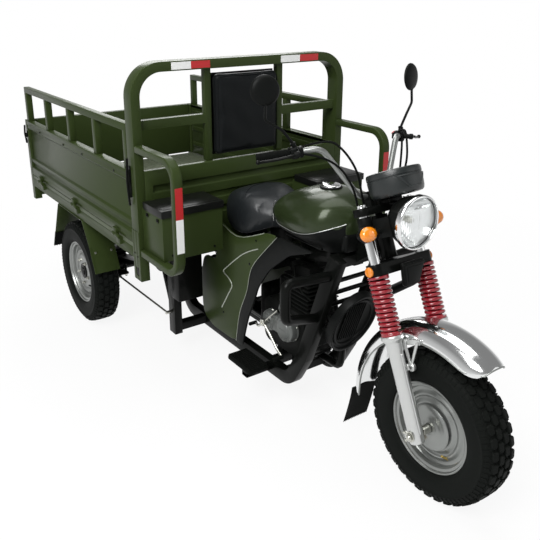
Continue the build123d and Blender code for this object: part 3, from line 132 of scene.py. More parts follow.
def makeLights(setup):
    for name, place, aim, size, watts in setup["lamps"]:
        lamp = bpy.data.lights.new(name, "AREA")
        lamp.energy, lamp.size = watts, size
        holder = newObject(name, lamp)
        holder.location = place
        holder.rotation_euler = aimed(Vector(aim) - Vector(place))
    world = bpy.data.worlds.new("studio")
    bpy.context.scene.world = world
    world.use_nodes = True
    tree = world.node_tree
    path = addNode(tree, "ShaderNodeLightPath").outputs
    coords = addNode(tree, "ShaderNodeTexCoord")
    height = addNode(tree, "ShaderNodeSeparateXYZ", {0: coords.outputs["Generated"]})
    ceiling = addNode(tree, "ShaderNodeMapRange", {"Value": height.outputs["Z"], **setup["ceiling"]})
    shone = addNode(tree, "ShaderNodeMix", {
        "Factor": path["Is Glossy Ray"], "A": setup["worldStrength"], "B": ceiling.outputs["Result"]})
    seen = mathNode(tree, "MAXIMUM", path["Is Camera Ray"], path["Is Transmission Ray"])
    blend = addNode(tree, "ShaderNodeMix", {"Factor": seen, "A": shone.outputs["Result"], "B": 1})
    setInputs(tree, tree.nodes["Background"], {"Strength": blend.outputs["Result"], "Color": (1, 1, 1, 1)})


floorSetup = {
    "half": 30,
    "color": (0.86, 0.86, 0.86, 1),
    "rough": 0.9,
    # the part of its look that is plain white, by distance
    "plain": {"From Min": 1.6, "From Max": 3.2, "To Min": 0.9, "To Max": 1},
}


def makeFloor(setup):
    half = setup["half"]
    mesh = meshFrom([(-half, -half, 0), (half, -half, 0), (half, half, 0), (-half, half, 0)], [(0, 1, 2, 3)])
    paint, tree, shader = newMaterial("paleFloor")
    setInputs(tree, shader, {"Base Color": setup["color"], "Roughness": setup["rough"]})
    glow = addNode(tree, "ShaderNodeEmission", {"Strength": 1})
    path = addNode(tree, "ShaderNodeLightPath").outputs
    spot = addNode(tree, "ShaderNodeNewGeometry")
    reach = addNode(tree, "ShaderNodeVectorMath", {0: spot.outputs["Position"]}, operation="LENGTH")
    plain = addNode(tree, "ShaderNodeMapRange", {"Value": reach.outputs["Value"], **setup["plain"]})
    seen = mathNode(tree, "MAXIMUM", path["Is Camera Ray"], path["Is Glossy Ray"])
    share = mathNode(tree, "MULTIPLY", seen, plain.outputs["Result"])
    mixer = addNode(tree, "ShaderNodeMixShader", {
        "Fac": share, 1: shader.outputs["BSDF"], 2: glow.outputs["Emission"]})
    setInputs(tree, tree.nodes["Material Output"], {"Surface": mixer.outputs["Shader"]})
    mesh.materials.append(paint)
    newObject("studioFloor", mesh)


bpy.context.scene.view_settings.view_transform = "Standard"
makeCamera(cameraSetup)
makeLights(lightSetup)
makeFloor(floorSetup)
print("camera, lights and floor ready")


# shader groups shared by the finishes
def newGroup(name, inputs, outputs):
    group = bpy.data.node_groups.new(name, "ShaderNodeTree")
    for label, kind, value in inputs:
        socket = group.interface.new_socket(label, in_out="INPUT", socket_type=kind)
        socket.default_value = value
    for label, kind in outputs:
        group.interface.new_socket(label, in_out="OUTPUT", socket_type=kind)
    return group, group.nodes.new("NodeGroupInput").outputs, group.nodes.new("NodeGroupOutput")


def addNoise(tree, scale, detail, roughness=0.55):
    coords = addNode(tree, "ShaderNodeTexCoord")
    noise = addNode(tree, "ShaderNodeTexNoise", {
        "Vector": coords.outputs["Object"], "Scale": scale, "Detail": detail, "Roughness": roughness})
    return noise.outputs["Fac"]


def addRamp(tree, source, low, high):
    ramp = addNode(tree, "ShaderNodeMapRange", {"Value": source, "From Min": low, "From Max": high})
    return ramp.outputs["Result"]


def makeToneGroup():
    # broad tone shift, fine dust settled on upward faces, and a roughness that follows both
    group, given, result = newGroup("toneAndDust", (
        ("Color", "NodeSocketColor", (0.5, 0.5, 0.5, 1)),
        ("Dust Color", "NodeSocketColor", (0.32, 0.30, 0.26, 1)),
        ("Tone", "NodeSocketFloat", 0.12), ("Dust", "NodeSocketFloat", 0.05),
        ("Scale", "NodeSocketFloat", 6),
        ("Roughness", "NodeSocketFloat", 0.4), ("Spread", "NodeSocketFloat", 0.12),
    ), (("Color", "NodeSocketColor"), ("Roughness", "NodeSocketFloat")))
    centred = mathNode(group, "SUBTRACT", addNoise(group, given["Scale"], 5), 0.5)
    swing = mathNode(group, "MULTIPLY_ADD", centred, given["Tone"], 1)
    hue = addNode(group, "ShaderNodeHueSaturation", {"Value": swing, "Color": given["Color"]})
    normal = addNode(group, "ShaderNodeNewGeometry")
    split = addNode(group, "ShaderNodeSeparateXYZ", {0: normal.outputs["Normal"]})
    upward = addRamp(group, split.outputs["Z"], 0.2, 1.0)
    patch = addRamp(group, addNoise(group, 55, 6, 0.7), 0.42, 0.72)
    amount = mathNode(group, "MULTIPLY", mathNode(group, "MULTIPLY", upward, patch), given["Dust"])
    blend = addNode(group, "ShaderNodeMix", {
        "Factor": amount, "A": hue.outputs["Color"], "B": given["Dust Color"]}, data_type="RGBA")
    rough = mathNode(group, "MULTIPLY_ADD", centred, given["Spread"], given["Roughness"])
    setInputs(group, result, {"Color": blend.outputs["Result"], "Roughness": rough})
    return group


def makeGrainGroup():
    # small bumps of a given size, as a height for a Bump node
    group, given, result = newGroup("surfaceGrain", (
        ("Fine", "NodeSocketFloat", 400), ("Coarse", "NodeSocketFloat", 40),
        ("Share", "NodeSocketFloat", 0.3),
    ), (("Height", "NodeSocketFloat"),))
    fine = addNoise(group, given["Fine"], 3)
    coarse = addNoise(group, given["Coarse"], 4)
    blend = addNode(group, "ShaderNodeMix", {"Factor": given["Share"], "A": fine, "B": coarse})
    setInputs(group, result, {"Height": blend.outputs["Result"]})
    return group


toneGroup = makeToneGroup()
grainGroup = makeGrainGroup()

# finishes: colour, tone swing, dust, roughness and its spread, metallic, coat, shine,
# bump strength and grain sizes
plainFinish = dict(dust=0.0, metallic=0, coat=0, shine=0.5, grain=(500, 60, 0.3))
finishes = {
    "olivePaint": dict(color=(0.028, 0.042, 0.012), tone=0.10, dust=0.01, rough=0.34, spread=0.10, coat=0.03,
                       shine=0.08, bump=0.02, grain=(700, 60, 0.2)),
    "floorPaint": dict(color=(0.074, 0.090, 0.056), tone=0.3, dust=0.2, rough=0.5, spread=0.2, shine=0.3,
                       bump=0.25,
                       grain=(420, 90, 0.4)),
    "tankPaint": dict(color=(0.022, 0.033, 0.012), tone=0.12, dust=0.02, rough=0.28, spread=0.08,
                      metallic=0.25,
                      coat=0.2, shine=0.2, bump=0.01, grain=(900, 90, 0.2)),
    "blackPaint": dict(color=(0.0035, 0.004, 0.0035), tone=0.2, dust=0.008, rough=0.32, spread=0.14,
                       coat=0.05,
                       shine=0.06, bump=0.03, grain=(500, 50, 0.3)),
    "chrome": dict(color=(0.80, 0.81, 0.81), tone=0.03, rough=0.13, spread=0.06, metallic=1.0, bump=0.004,
                   grain=(300, 20, 0.5)),
    "silverCast": dict(color=(0.60, 0.61, 0.60), tone=0.06, dust=0.05, rough=0.33, spread=0.15,
                       metallic=0.85,
                       bump=0.03),
    "rimPaint": dict(color=(0.26, 0.27, 0.26), tone=0.08, dust=0.1, rough=0.34, spread=0.15, metallic=0.8,
                     bump=0.03,
                     grain=(400, 40, 0.3)),
    "zincPlate": dict(color=(0.55, 0.55, 0.50), tone=0.12, dust=0.05, rough=0.3, spread=0.2, metallic=1.0,
                      bump=0.03),
    "goldZinc": dict(color=(0.55, 0.40, 0.13), tone=0.2, dust=0.05, rough=0.32, spread=0.2, metallic=1.0,
                     bump=0.03),
    "springRed": dict(color=(0.25, 0.011, 0.019), tone=0.12, rough=0.25, spread=0.1, coat=0.6, bump=0.01),
    "blackPlastic": dict(color=(0.0042, 0.0048, 0.0045), tone=0.15, dust=0.01, rough=0.42, spread=0.12,
                         shine=0.08,
                         bump=0.10, grain=(1100, 120, 0.25)),
    "podPlastic": dict(color=(0.009, 0.012, 0.012), tone=0.12, rough=0.36, spread=0.12, bump=0.06,
                       grain=(1100, 120, 0.25)),
    "glossBlack": dict(color=(0.006, 0.0065, 0.006), tone=0.15, dust=0.01, rough=0.34, spread=0.1, coat=0.08,
                       shine=0.12, bump=0.01, grain=(700, 80, 0.3)),
    "softRubber": dict(color=(0.0042, 0.0048, 0.0042), tone=0.2, dust=0.012, rough=0.62, spread=0.15,
                       shine=0.03,
                       bump=0.14, grain=(900, 90, 0.3)),
    "tyreRubber": dict(color=(0.0062, 0.0072, 0.0064), tone=0.25, dust=0.012, rough=0.6, spread=0.18,
                       shine=0.05,
                       bump=0.14, grain=(800, 70, 0.35)),
    "engineBlack": dict(color=(0.0055, 0.006, 0.0055), tone=0.2, dust=0.012, rough=0.45, spread=0.15,
                        metallic=0.1,
                        shine=0.06, bump=0.16, grain=(420, 60, 0.4)),
    "coverGrey": dict(color=(0.13, 0.138, 0.132), tone=0.15, dust=0.02, rough=0.36, spread=0.15,
                      metallic=0.5,
                      shine=0.35, bump=0.14, grain=(420, 60, 0.4)),
    "vinyl": dict(color=(0.0065, 0.0075, 0.008), tone=0.2, dust=0.01, rough=0.4, spread=0.16, shine=0.07,
                  bump=0.22,
                  grain=(520, 140, 0.45)),
    # a lighter copy of vinyl for the seat: painted sheen, the light its top catches put into its colour
    "saddleVinylPaintedSheen": dict(color=(0.010, 0.012, 0.0135), tone=0.2, rough=0.4, spread=0.16, shine=0.45, bump=0.2,
                        grain=(520, 140, 0.45)),
    "amberLens": dict(color=(0.78, 0.23, 0.006), tone=0.08, rough=0.14, spread=0.05, coat=0.8, bump=0.02,
                      grain=(300, 60, 0.3)),
    "redLens": dict(color=(0.40, 0.008, 0.008), tone=0.08, rough=0.16, spread=0.05, coat=0.8, bump=0.02,
                    grain=(300, 60, 0.3)),
    "redTape": dict(color=(0.40, 0.004, 0.006), tone=0.06, dust=0.02, rough=0.3, spread=0.1, bump=0.05,
                    grain=(900, 260, 0.5)),
    "whiteTape": dict(color=(0.74, 0.75, 0.74), tone=0.05, dust=0.02, rough=0.3, spread=0.1, bump=0.05,
                      grain=(900, 260, 0.5)),
    # a pale olive grey for the panel's raised bead and edge strips: painted highlight along them
    "beadPaintedHighlight": dict(color=(0.30, 0.33, 0.27), tone=0.06, dust=0.02, rough=0.26, spread=0.1, metallic=0.4,
                       coat=0.5,
                       bump=0.01),
    "dialWhite": dict(color=(0.70, 0.70, 0.68), tone=0.03, rough=0.4, spread=0.05, bump=0.01),
    "mirrorGlass": dict(color=(0.86, 0.87, 0.88), tone=0.01, rough=0.02, spread=0.01, metallic=1.0,
                        bump=0.001,
                        grain=(300, 20, 0.5)),
}
bumpHeight = 0.002
coatRoughness = 0.08
glassSetup = {"color": (0.96, 0.97, 0.97, 1), "rough": 0.03, "ior": 1.45, "shine": 0.2, "bump": 0.02,
              "bumpHeight": 0.001, "grain": (400, 40, 0.3)}


def addGrain(tree, shader, sizes, strength, height):
    grain = addNode(tree, "ShaderNodeGroup", dict(zip(("Fine", "Coarse", "Share"), sizes)),
                    node_tree=grainGroup)
    bump = addNode(tree, "ShaderNodeBump", {
        "Strength": strength, "Distance": height, "Height": grain.outputs["Height"]})
    setInputs(tree, shader, {"Normal": bump.outputs["Normal"]})


def makeFinish(name, setup):
    made, tree, shader = newMaterial(name)
    tone = addNode(tree, "ShaderNodeGroup", {
        "Color": (*setup["color"], 1), "Tone": setup["tone"], "Dust": setup["dust"],
        "Roughness": setup["rough"],
        "Spread": setup["spread"]}, node_tree=toneGroup)
    setInputs(tree, shader, {
        "Base Color": tone.outputs["Color"], "Roughness": tone.outputs["Roughness"],
        "Metallic": setup["metallic"],
        "Coat Weight": setup["coat"], "Coat Roughness": coatRoughness, "Specular IOR Level": setup["shine"]})
    addGrain(tree, shader, setup["grain"], setup["bump"], bumpHeight)
    return made


def makeGlass(setup):
    made, tree, shader = newMaterial("clearGlass")
    setInputs(tree, shader, {
        "Base Color": setup["color"], "Roughness": setup["rough"], "Transmission Weight": 1,
        "IOR": setup["ior"],
        "Specular IOR Level": setup["shine"]})
    addGrain(tree, shader, setup["grain"], setup["bump"], setup["bumpHeight"])
    return made


finish = {name: makeFinish(name, {**plainFinish, **setup}) for name, setup in finishes.items()}
finish["clearGlass"] = makeGlass(glassSetup)
print("finishes ready:", len(finish))

# making pieces
nodeBody = {node: body for body, nodes in frame["record"]["behaviour"]["bodies"].items() for node in nodes}


def addPiece(name, mesh, finishName, node, smooth=40):
    # node: the solid it rides with, or a pair of that one and the one whose material slot it shares; the
    # second of the pair is not used
    bodyNode, slotNode = node if isinstance(node, tuple) else (node, node)
    mesh.name = name
    mesh.materials.clear()
    mesh.materials.append(finish[finishName])
    shadeByAngle(mesh, smooth)
    piece = newObject(name, mesh)
    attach(piece, nodeBody[bodyNode])
    return piece


def replaceNode(name, mesh, finishName, node, smooth=40):
    # a piece that shows in place of the solid it rides with
    piece = addPiece(name, mesh, finishName, node, smooth)
    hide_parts(node if isinstance(node, str) else node[0])
    return piece


def workOn(*meshes):
    work = bmesh.new()
    for mesh in meshes:
        work.from_mesh(mesh)
    return work


def meshOf(work):
    mesh = bpy.data.meshes.new("shape")
    work.to_mesh(mesh)
    work.free()
    return mesh


def shadeByAngle(mesh, degrees):
    mesh.shade_smooth()
    work = workOn(mesh)
    for edge in work.edges:
        edge.smooth = len(edge.link_faces) == 2 and edge.calc_face_angle(0) < math.radians(degrees)
    work.to_mesh(mesh)
    work.free()


def splitLarge(work):
    bmesh.ops.triangulate(work, faces=[face for face in work.faces if len(face.verts) > 4])


def softenedMesh(node, width, segments=2):
    # a copy of a node's solid with its hard edges rounded
    work = workOn(frame["nodes"][node].data)
    bmesh.ops.remove_doubles(work, verts=work.verts, dist=1e-6)
    bmesh.ops.dissolve_limit(work, angle_limit=math.radians(2), verts=work.verts, edges=work.edges)
    hard = math.radians(28)
    sharp = [edge for edge in work.edges if len(edge.link_faces) == 2 and edge.calc_face_angle(0) > hard]
    bmesh.ops.bevel(work, geom=sharp, offset=width, offset_type="OFFSET", segments=segments, profile=0.5,
                    affect="EDGES", clamp_overlap=True)
    splitLarge(work)
    return meshOf(work)


# places: millimetres from the rear axle, left of the middle and up from the ground, as the solids are drawn
layout = {"middle": 815.5, "wheelbase": 2060, "track": 985, "axleHeight": 280, "rake": 24}
rake = math.radians(layout["rake"])
forkAhead = Vector((math.cos(rake), 0, math.sin(rake)))
forkUp = Vector((-math.sin(rake), 0, math.cos(rake)))
left = Vector((0, 1, 0))


def mm(x, y, z):
    return Vector((x, y, z)) / 1000


def at(x, y, z):
    return mm(x - layout["middle"], y, z)


def onFork(ahead, across, up):
    return at(layout["wheelbase"], across, layout["axleHeight"]) + (forkAhead * ahead + forkUp * up) / 1000


def axisFrame(origin, axis, side):
    # local Z along the axis, local X towards the side
    axis = Vector(axis).normalized()
    side = (Vector(side) - axis * Vector(side).dot(axis)).normalized()
    turn = Matrix((side, axis.cross(side), axis)).transposed().to_4x4()
    return Matrix.Translation(origin) @ turn


def crossFrame(x, y, z):
    return axisFrame(at(x, y, z), (0, 1, 0), (1, 0, 0))


def closedMesh(work):
    bmesh.ops.remove_doubles(work, verts=work.verts, dist=1e-6)
    bmesh.ops.dissolve_degenerate(work, edges=work.edges, dist=1e-7)
    bmesh.ops.recalc_face_normals(work, faces=work.faces)
    return meshOf(work)


def solidMesh(points, faces, split=False):
    raw = meshFrom(points, faces)
    work = workOn(raw)
    bpy.data.meshes.remove(raw)
    if split:
        splitLarge(work)
    return closedMesh(work)


def gridFaces(rows, count, around=True, over=False):
    # quads over rows of points; around joins each row's ends, over joins the last row to the first
    faces = []
    for row in range(rows if over else rows - 1):
        near, far = row * count, (row + 1) % rows * count
        for step in range(count if around else count - 1):
            after = (step + 1) % count
            faces.append((near + step, near + after, far + after, far + step))
    return faces


def joined(*meshes):
    return meshOf(workOn(*meshes))


def mirrored(mesh):
    copy = mesh.copy()
    copy.transform(Matrix.Scale(-1, 4, left))
    copy.flip_normals()
    return copy


def pair(*meshes):
    # the right side's meshes and their copies on the left
    whole = joined(*meshes)
    return joined(whole, mirrored(whole))


def turnedMesh(profile, place, steps=64):
    # (radius, along) points in millimetres turned about the frame's Z axis, left open if they start on it
    points = []
    for step in range(steps):
        angle = math.tau * step / steps
        points += [place @ mm(radius * math.cos(angle), radius * math.sin(angle), along) for radius,
                   along in profile]
    return solidMesh(points, gridFaces(steps, len(profile), around=profile[0][0] > 0, over=True))


def softBends(points, bend):
    # a rigid tube's corners drawn out over its bend length
    bend = bend / 1000
    route = [points[0]]
    for before, corner, after in zip(points, points[1:], points[2:]):
        back, ahead = before - corner, after - corner
        route += [corner + back.normalized() * min(bend, back.length * 0.49), corner,
                  corner + ahead.normalized() * min(bend, ahead.length * 0.49)]
    return route + [points[-1]]


def newCurve(name, route, radius, sides, steps):
    curve = bpy.data.curves.new(name, "CURVE")
    curve.dimensions = "3D"
    spline = curve.splines.new("NURBS")
    spline.points.add(len(route) - 1)
    for point, place in zip(spline.points, route):
        point.co = (*place, 1)
    spline.order_u = 3
    spline.use_endpoint_u = True
    curve.resolution_u = steps
    curve.bevel_depth = radius / 1000
    curve.bevel_resolution = sides
    curve.use_fill_caps = True
    return curve


def splineMesh(route, radius, sides=4, steps=6):
    holder = bpy.data.objects.new("spline", newCurve("spline", route, radius, sides, steps))
    mesh = bpy.data.meshes.new_from_object(holder)
    bpy.data.objects.remove(holder)
    return closedMesh(workOn(mesh))


def tubeMesh(points, radius, bend=40, sides=4, steps=6):
    return splineMesh(softBends(points, bend), radius, sides, steps)


def rodMesh(start, end, radius, steps=20, edge=0.8):
    # a round bar with eased ends, radius in millimetres
    along = end - start
    length = along.length * 1000
    ease = min(edge, radius * 0.4, length * 0.3)
    place = axisFrame(start, along, (0, 0.3, 1) if abs(along.normalized().y) < 0.9 else (1, 0, 0.2))
    rows = [(0, 0), (radius - ease, 0), (radius, ease), (radius, length - ease), (radius - ease, length),
            (0, length)]
    return turnedMesh(rows, place, steps)


def blockMesh(low, high, edge=0.003, segments=2, turn=None):
    size = [abs(span) for span in high - low]
    work = bmesh.new()
    bmesh.ops.create_cube(work, size=1)
    bmesh.ops.scale(work, vec=size, verts=work.verts)
    bmesh.ops.bevel(work, geom=work.edges[:], offset=min(edge, min(size) * 0.45), segments=segments,
                    profile=0.5,
                    affect="EDGES")
    if turn:
        bmesh.ops.transform(work, matrix=turn, verts=work.verts)
    bmesh.ops.translate(work, vec=(low + high) / 2, verts=work.verts)
    return closedMesh(work)


def plateMesh(edgePoints, depth, edge=0.002, segments=2):
    # a flat plate from its outline in space, given thickness along depth
    count = len(edgePoints)
    points = list(edgePoints) + [point + depth for point in edgePoints]
    faces = [tuple(range(count)), tuple(range(2 * count - 1, count - 1, -1)), *gridFaces(2, count)]
    work = workOn(meshFrom(points, faces))
    bmesh.ops.recalc_face_normals(work, faces=work.faces)
    rim = [side for side in work.edges if abs(side.calc_face_angle(0)) > math.radians(35)]
    bmesh.ops.bevel(work, geom=rim, offset=edge, segments=segments, profile=0.5, affect="EDGES",
                    clamp_overlap=True)
    splitLarge(work)
    return closedMesh(work)


def boltMesh(place, outward, radius=7, height=5):
    # a six-sided bolt head with a chamfered top, standing on a face
    level = abs(Vector(outward).normalized().z) < 0.9
    rows = [(0, -1), (radius, -1), (radius, height * 0.75), (radius * 0.8, height), (0, height)]
    return turnedMesh(rows, axisFrame(place, outward, (0.3, 0.2, 1) if level else (1, 0.2, 0)), 6)


# Geometry Nodes: rings and grids of copies, and wound wire
def newTree(name, inputs):
    tree = bpy.data.node_groups.new(name, "GeometryNodeTree")
    tree.interface.new_socket("Geometry", in_out="OUTPUT", socket_type="NodeSocketGeometry")
    sockets = {}
    for label, kind, value in (("Shape", "NodeSocketGeometry", None), *inputs,
                               ("Finish", "NodeSocketMaterial", None)):
        socket = tree.interface.new_socket(label, in_out="INPUT", socket_type=kind)
        if value is not None:
            socket.default_value = value
        sockets[label] = socket.identifier
    return tree, tree.nodes.new("NodeGroupInput").outputs, sockets


def endTree(tree, given, shape):
    real = addNode(tree, "GeometryNodeRealizeInstances", {"Geometry": shape})
    paint = addNode(tree, "GeometryNodeSetMaterial", {
        "Geometry": real.outputs["Geometry"], "Material": given["Finish"]})
    addNode(tree, "NodeGroupOutput", {"Geometry": paint.outputs["Geometry"]})


def placeCopies(tree, given, count, place, turn):
    points = addNode(tree, "GeometryNodePoints", {"Count": count, "Position": place})
    turned = addNode(tree, "ShaderNodeCombineXYZ", {"Z": turn})
    copies = addNode(tree, "GeometryNodeInstanceOnPoints", {
        "Points": points.outputs[0], "Instance": given["Shape"], "Rotation": turned.outputs[0]})
    endTree(tree, given, copies.outputs["Instances"])


def makeRingTree():
    tree, given, sockets = newTree("ringOfCopies", (
        ("Count", "NodeSocketInt", 12), ("Radius", "NodeSocketFloat", 0.1),
        ("Across", "NodeSocketFloat", 0.0),
        ("Phase", "NodeSocketFloat", 0.0),
    ))
    index = addNode(tree, "GeometryNodeInputIndex").outputs["Index"]
    part = mathNode(tree, "DIVIDE", index, given["Count"])
    angle = mathNode(tree, "ADD", mathNode(tree, "MULTIPLY", part, math.tau), given["Phase"])
    spot = addNode(tree, "ShaderNodeCombineXYZ", {
        "X": mathNode(tree, "MULTIPLY", mathNode(tree, "COSINE", angle), given["Radius"]),
        "Y": mathNode(tree, "MULTIPLY", mathNode(tree, "SINE", angle), given["Radius"]),
        "Z": given["Across"]})
    placeCopies(tree, given, given["Count"], spot.outputs[0], angle)
    return tree, sockets


def makeGridTree():
    # rows and columns of copies; every other one is turned by Turn
    tree, given, sockets = newTree("gridOfCopies", (
        ("Columns", "NodeSocketInt", 4), ("Rows", "NodeSocketInt", 1),
        ("Column Step", "NodeSocketVector", (0.1, 0, 0)), ("Row Step", "NodeSocketVector", (0, 0.1, 0)),
        ("Turn", "NodeSocketFloat", 0.0),
    ))
    index = addNode(tree, "GeometryNodeInputIndex").outputs["Index"]
    share = mathNode(tree, "DIVIDE", mathNode(tree, "ADD", index, 0.5), given["Columns"])
    row = mathNode(tree, "FLOOR", share)
    column = mathNode(tree, "SUBTRACT", index, mathNode(tree, "MULTIPLY", row, given["Columns"]))
    along, up = (addNode(tree, "ShaderNodeVectorMath", {0: given[label], "Scale": amount}, operation="SCALE")
                 for label, amount in (("Column Step", column), ("Row Step", row)))
    spot = addNode(tree, "ShaderNodeVectorMath", {0: along.outputs["Vector"], 1: up.outputs["Vector"]},
                   operation="ADD")
    odd = mathNode(tree, "MODULO", mathNode(tree, "ADD", row, column), 2)
    total = mathNode(tree, "MULTIPLY", given["Columns"], given["Rows"])
    placeCopies(tree, given, total, spot.outputs["Vector"], mathNode(tree, "MULTIPLY", odd, given["Turn"]))
    return tree, sockets


def makeCoilTree():
    tree, given, sockets = newTree("woundWire", (
        ("Turns", "NodeSocketFloat", 8.0), ("Radius", "NodeSocketFloat", 0.03),
        ("Height", "NodeSocketFloat", 0.2),
        ("Wire", "NodeSocketFloat", 0.006), ("Steps", "NodeSocketInt", 28), ("Sides", "NodeSocketInt", 10),
    ))
    spiral = addNode(tree, "GeometryNodeCurveSpiral", {
        "Resolution": given["Steps"], "Rotations": given["Turns"], "Start Radius": given["Radius"],
        "End Radius": given["Radius"], "Height": given["Height"]})
    ring = addNode(tree, "GeometryNodeCurvePrimitiveCircle", {
        "Resolution": given["Sides"], "Radius": given["Wire"]})
    skin = addNode(tree, "GeometryNodeCurveToMesh", {
        "Fill Caps": True, "Curve": spiral.outputs["Curve"], "Profile Curve": ring.outputs["Curve"]})
    endTree(tree, given, skin.outputs["Mesh"])
    return tree, sockets


ringTree, gridTree, coilTree = makeRingTree(), makeGridTree(), makeCoilTree()


def grown(treeAndSockets, finishName, shape, place, **values):
    # run a tree on a small shape and return the plain mesh
    tree, sockets = treeAndSockets
    holder = newObject("grow", shape or bpy.data.meshes.new("empty"))
    grow = holder.modifiers.new("grow", "NODES")
    grow.node_group = tree
    grow[sockets["Finish"]] = finish[finishName]
    for label, value in values.items():
        grow[sockets[label.replace("_", " ")]] = value
    mesh = evaluated(holder)
    bpy.data.objects.remove(holder)
    mesh.transform(place)
    return mesh


print("tools ready")

# wheels
tyreSetup = {
    "wall": ((170, 53), (175, 60), (188, 65.5), (206, 68), (226, 68.6), (238, 68), (240, 69), (243, 69),
             (245, 67.4),
             (254, 64), (261, 59), (266, 52), (269.5, 38), (271, 20)),  # radius, half width
    "crown": 271.4,
    "rows": ((-41, 0.0, -13, 266.6), (-14, 0.5, -2, 268.6),
             (14, 0.0, 2, 268.6), (41, 0.5, 13, 266.6)),  # across, part of a pitch, tilt, radius
    "blocks": 38, "block": (17.6, 11.6, 11), "corner": 5, "chamfer": 2.2,
    "ribs": 76,
    "rib": {"ring": 250, "out": 5, "across": 62.4, "slope": (18, 9.5), "half": (10, 2.6), "lift": (-1, 2.4)},
}
rimSetup = {
    "face": ((169, -50), (168.4, -52.4), (165.5, -53.6), (162, -52.4), (160, -49), (158.4, -44.5),
             (153, -42.8),
             (149.6, -41), (147.6, -36), (146.4, -25), (143, -21), (134, -19.4), (128, -20.8), (123, -25.4),
             (117.5, -28.4), (112.5, -27.6), (108.5, -23.6), (104, -22), (99, -24.6), (92, -30.6),
             (88, -32.4),
             (60, -32.6), (46, -32), (43, -30)),  # radius, across; the outer side is negative
    "back": ((43, -26), (60, -27), (88, -27), (104, -17), (134, -14.4), (144, -15), (150, -30), (150.5, 38),
             (158, 44),
             (160, 49), (162, 52.4), (165.5, 53.6), (168.4, 52.4), (169, 50)),
    "valve": ((96, 62, -24), (82, 53, -42), 4), "frontValve": ((75, 98, -22), (62, 82, -44), 4.4),
     # ends, radius
}
hubSetup = {
    "rows": ((10, -35), (22, -36), (38, -36), (41.6, -34), (41.6, -13), (58, -12), (62, -9), (62, 4),
             (58, 8), (58, 14),
             (62, 18), (62, 44), (59, 48), (10, 48)),
    "cap": ((0, -44.6), (12, -44), (20, -41), (22, -37), (22, -35), (0, -35)),
    "nut": ((0, 0), (9, 0), (9, 7), (7, 9), (5.2, 9), (5.2, 14), (4, 15), (0, 15)),
    "nuts": 5, "nutRing": 66, "nutSeat": -32.2, "nutPhase": 0.3,
}


def treadBlock(setup, tilt):
    along, across, height = setup["block"]
    lean = math.radians(tilt)
    points = []
    for share, lift in ((1.0, 0), (0.97, height - setup["chamfer"]), (0.86, height)):
        a, b, c = along * share, across * share, setup["corner"] * share
        corners = ((a, b - c), (a - c, b), (c - a, b), (-a, b - c), (-a, c - b), (c - a, -b), (a - c, -b),
                   (a, c - b))
        for y, z in corners:
            points.append(mm(lift * math.cos(lean) - z * math.sin(lean), y,
                             z * math.cos(lean) + lift * math.sin(lean)))
    return solidMesh(points, gridFaces(3, 8) + [tuple(range(16, 24)), tuple(range(7, -1, -1))])


def shoulderRib(setup, sign):
    # a thin bar lying on the slope between tread and side wall
    inward, aside = setup["slope"]
    length, width = setup["half"]
    slope = Vector((-inward, 0, aside * sign)).normalized() * length
    out = Vector((aside, 0, inward * sign)).normalized()
    points = []
    for lift in setup["lift"]:
        for a, b in ((-1, -width), (1, -width), (1, width), (-1, width)):
            points.append((Vector((setup["out"], b,
                                   setup["across"] * sign)) + slope * a + out * lift) / 1000)
    return solidMesh(points, [(0, 3, 2, 1), (4, 5, 6, 7), *gridFaces(2, 4)])


def makeTyre(node, name, place, setup):
    wall = setup["wall"]
    profile = [(r, -a) for r, a in wall] + [(setup["crown"], 0)] + [(r, a) for r, a in reversed(wall)]
    pieces = [turnedMesh(profile, place, 96)]
    pitch = math.tau / setup["blocks"]
    for across, part, tilt, radius in setup["rows"]:
        pieces.append(grown(ringTree, "tyreRubber", treadBlock(setup, tilt), place, Count=setup["blocks"],
                            Radius=radius / 1000, Across=across / 1000, Phase=part * pitch))
    for sign in (-1, 1):
        pieces.append(grown(ringTree, "tyreRubber", shoulderRib(setup["rib"], sign), place,
                            Count=setup["ribs"],
                            Radius=setup["rib"]["ring"] / 1000, Across=0.0))
    replaceNode(name, joined(*pieces), "tyreRubber", node, 32)


def flipped(profile, flip):
    return [(radius, along * flip) for radius, along in profile]


def makeWheel(end, word, place, flip):
    # tyre, rim and hub; word is empty for the front wheel
    suffix = "_" + word.lower() if word else ""
    makeTyre(end + "_tyre" + suffix, end + "Tyre" + word, place, tyreSetup)
    rim = turnedMesh(flipped(rimSetup["face"] + rimSetup["back"], flip), place, 96)
    replaceNode(end + "Rim" + word, rim, "rimPaint", end + "_rim" + suffix, 34)
    hub = turnedMesh(flipped(hubSetup["rows"], flip), place)
    replaceNode(end + "Hub" + word, hub, "blackPaint", end + "_hub" + suffix, 34)


def makeValve(name, place, setup, flip, finishName, nodes):
    inner, outer, radius = setup
    ends = [place @ mm(x, y, z * flip) for x, y, z in (inner, outer)]
    addPiece(name, rodMesh(*ends, radius, 12), finishName, nodes)


def makeRearFixings(word, place, flip, setup):
    nodes = ("rear_rim_" + word.lower(), "rear_hub_" + word.lower())
    stud = turnedMesh(setup["nut"], Matrix.Rotation(math.pi if flip > 0 else 0, 4, "X"), 6)
    nuts = grown(ringTree, "zincPlate", stud, place, Count=setup["nuts"], Radius=setup["nutRing"] / 1000,
                 Across=setup["nutSeat"] * flip / 1000, Phase=setup["nutPhase"])
    addPiece("wheelNuts" + word, nuts, "zincPlate", nodes, 30)
    addPiece("hubCap" + word, turnedMesh(flipped(setup["cap"], flip), place, 40), "glossBlack", nodes, 30)
    makeValve("valve" + word, place, rimSetup["valve"], flip, "softRubber", nodes)


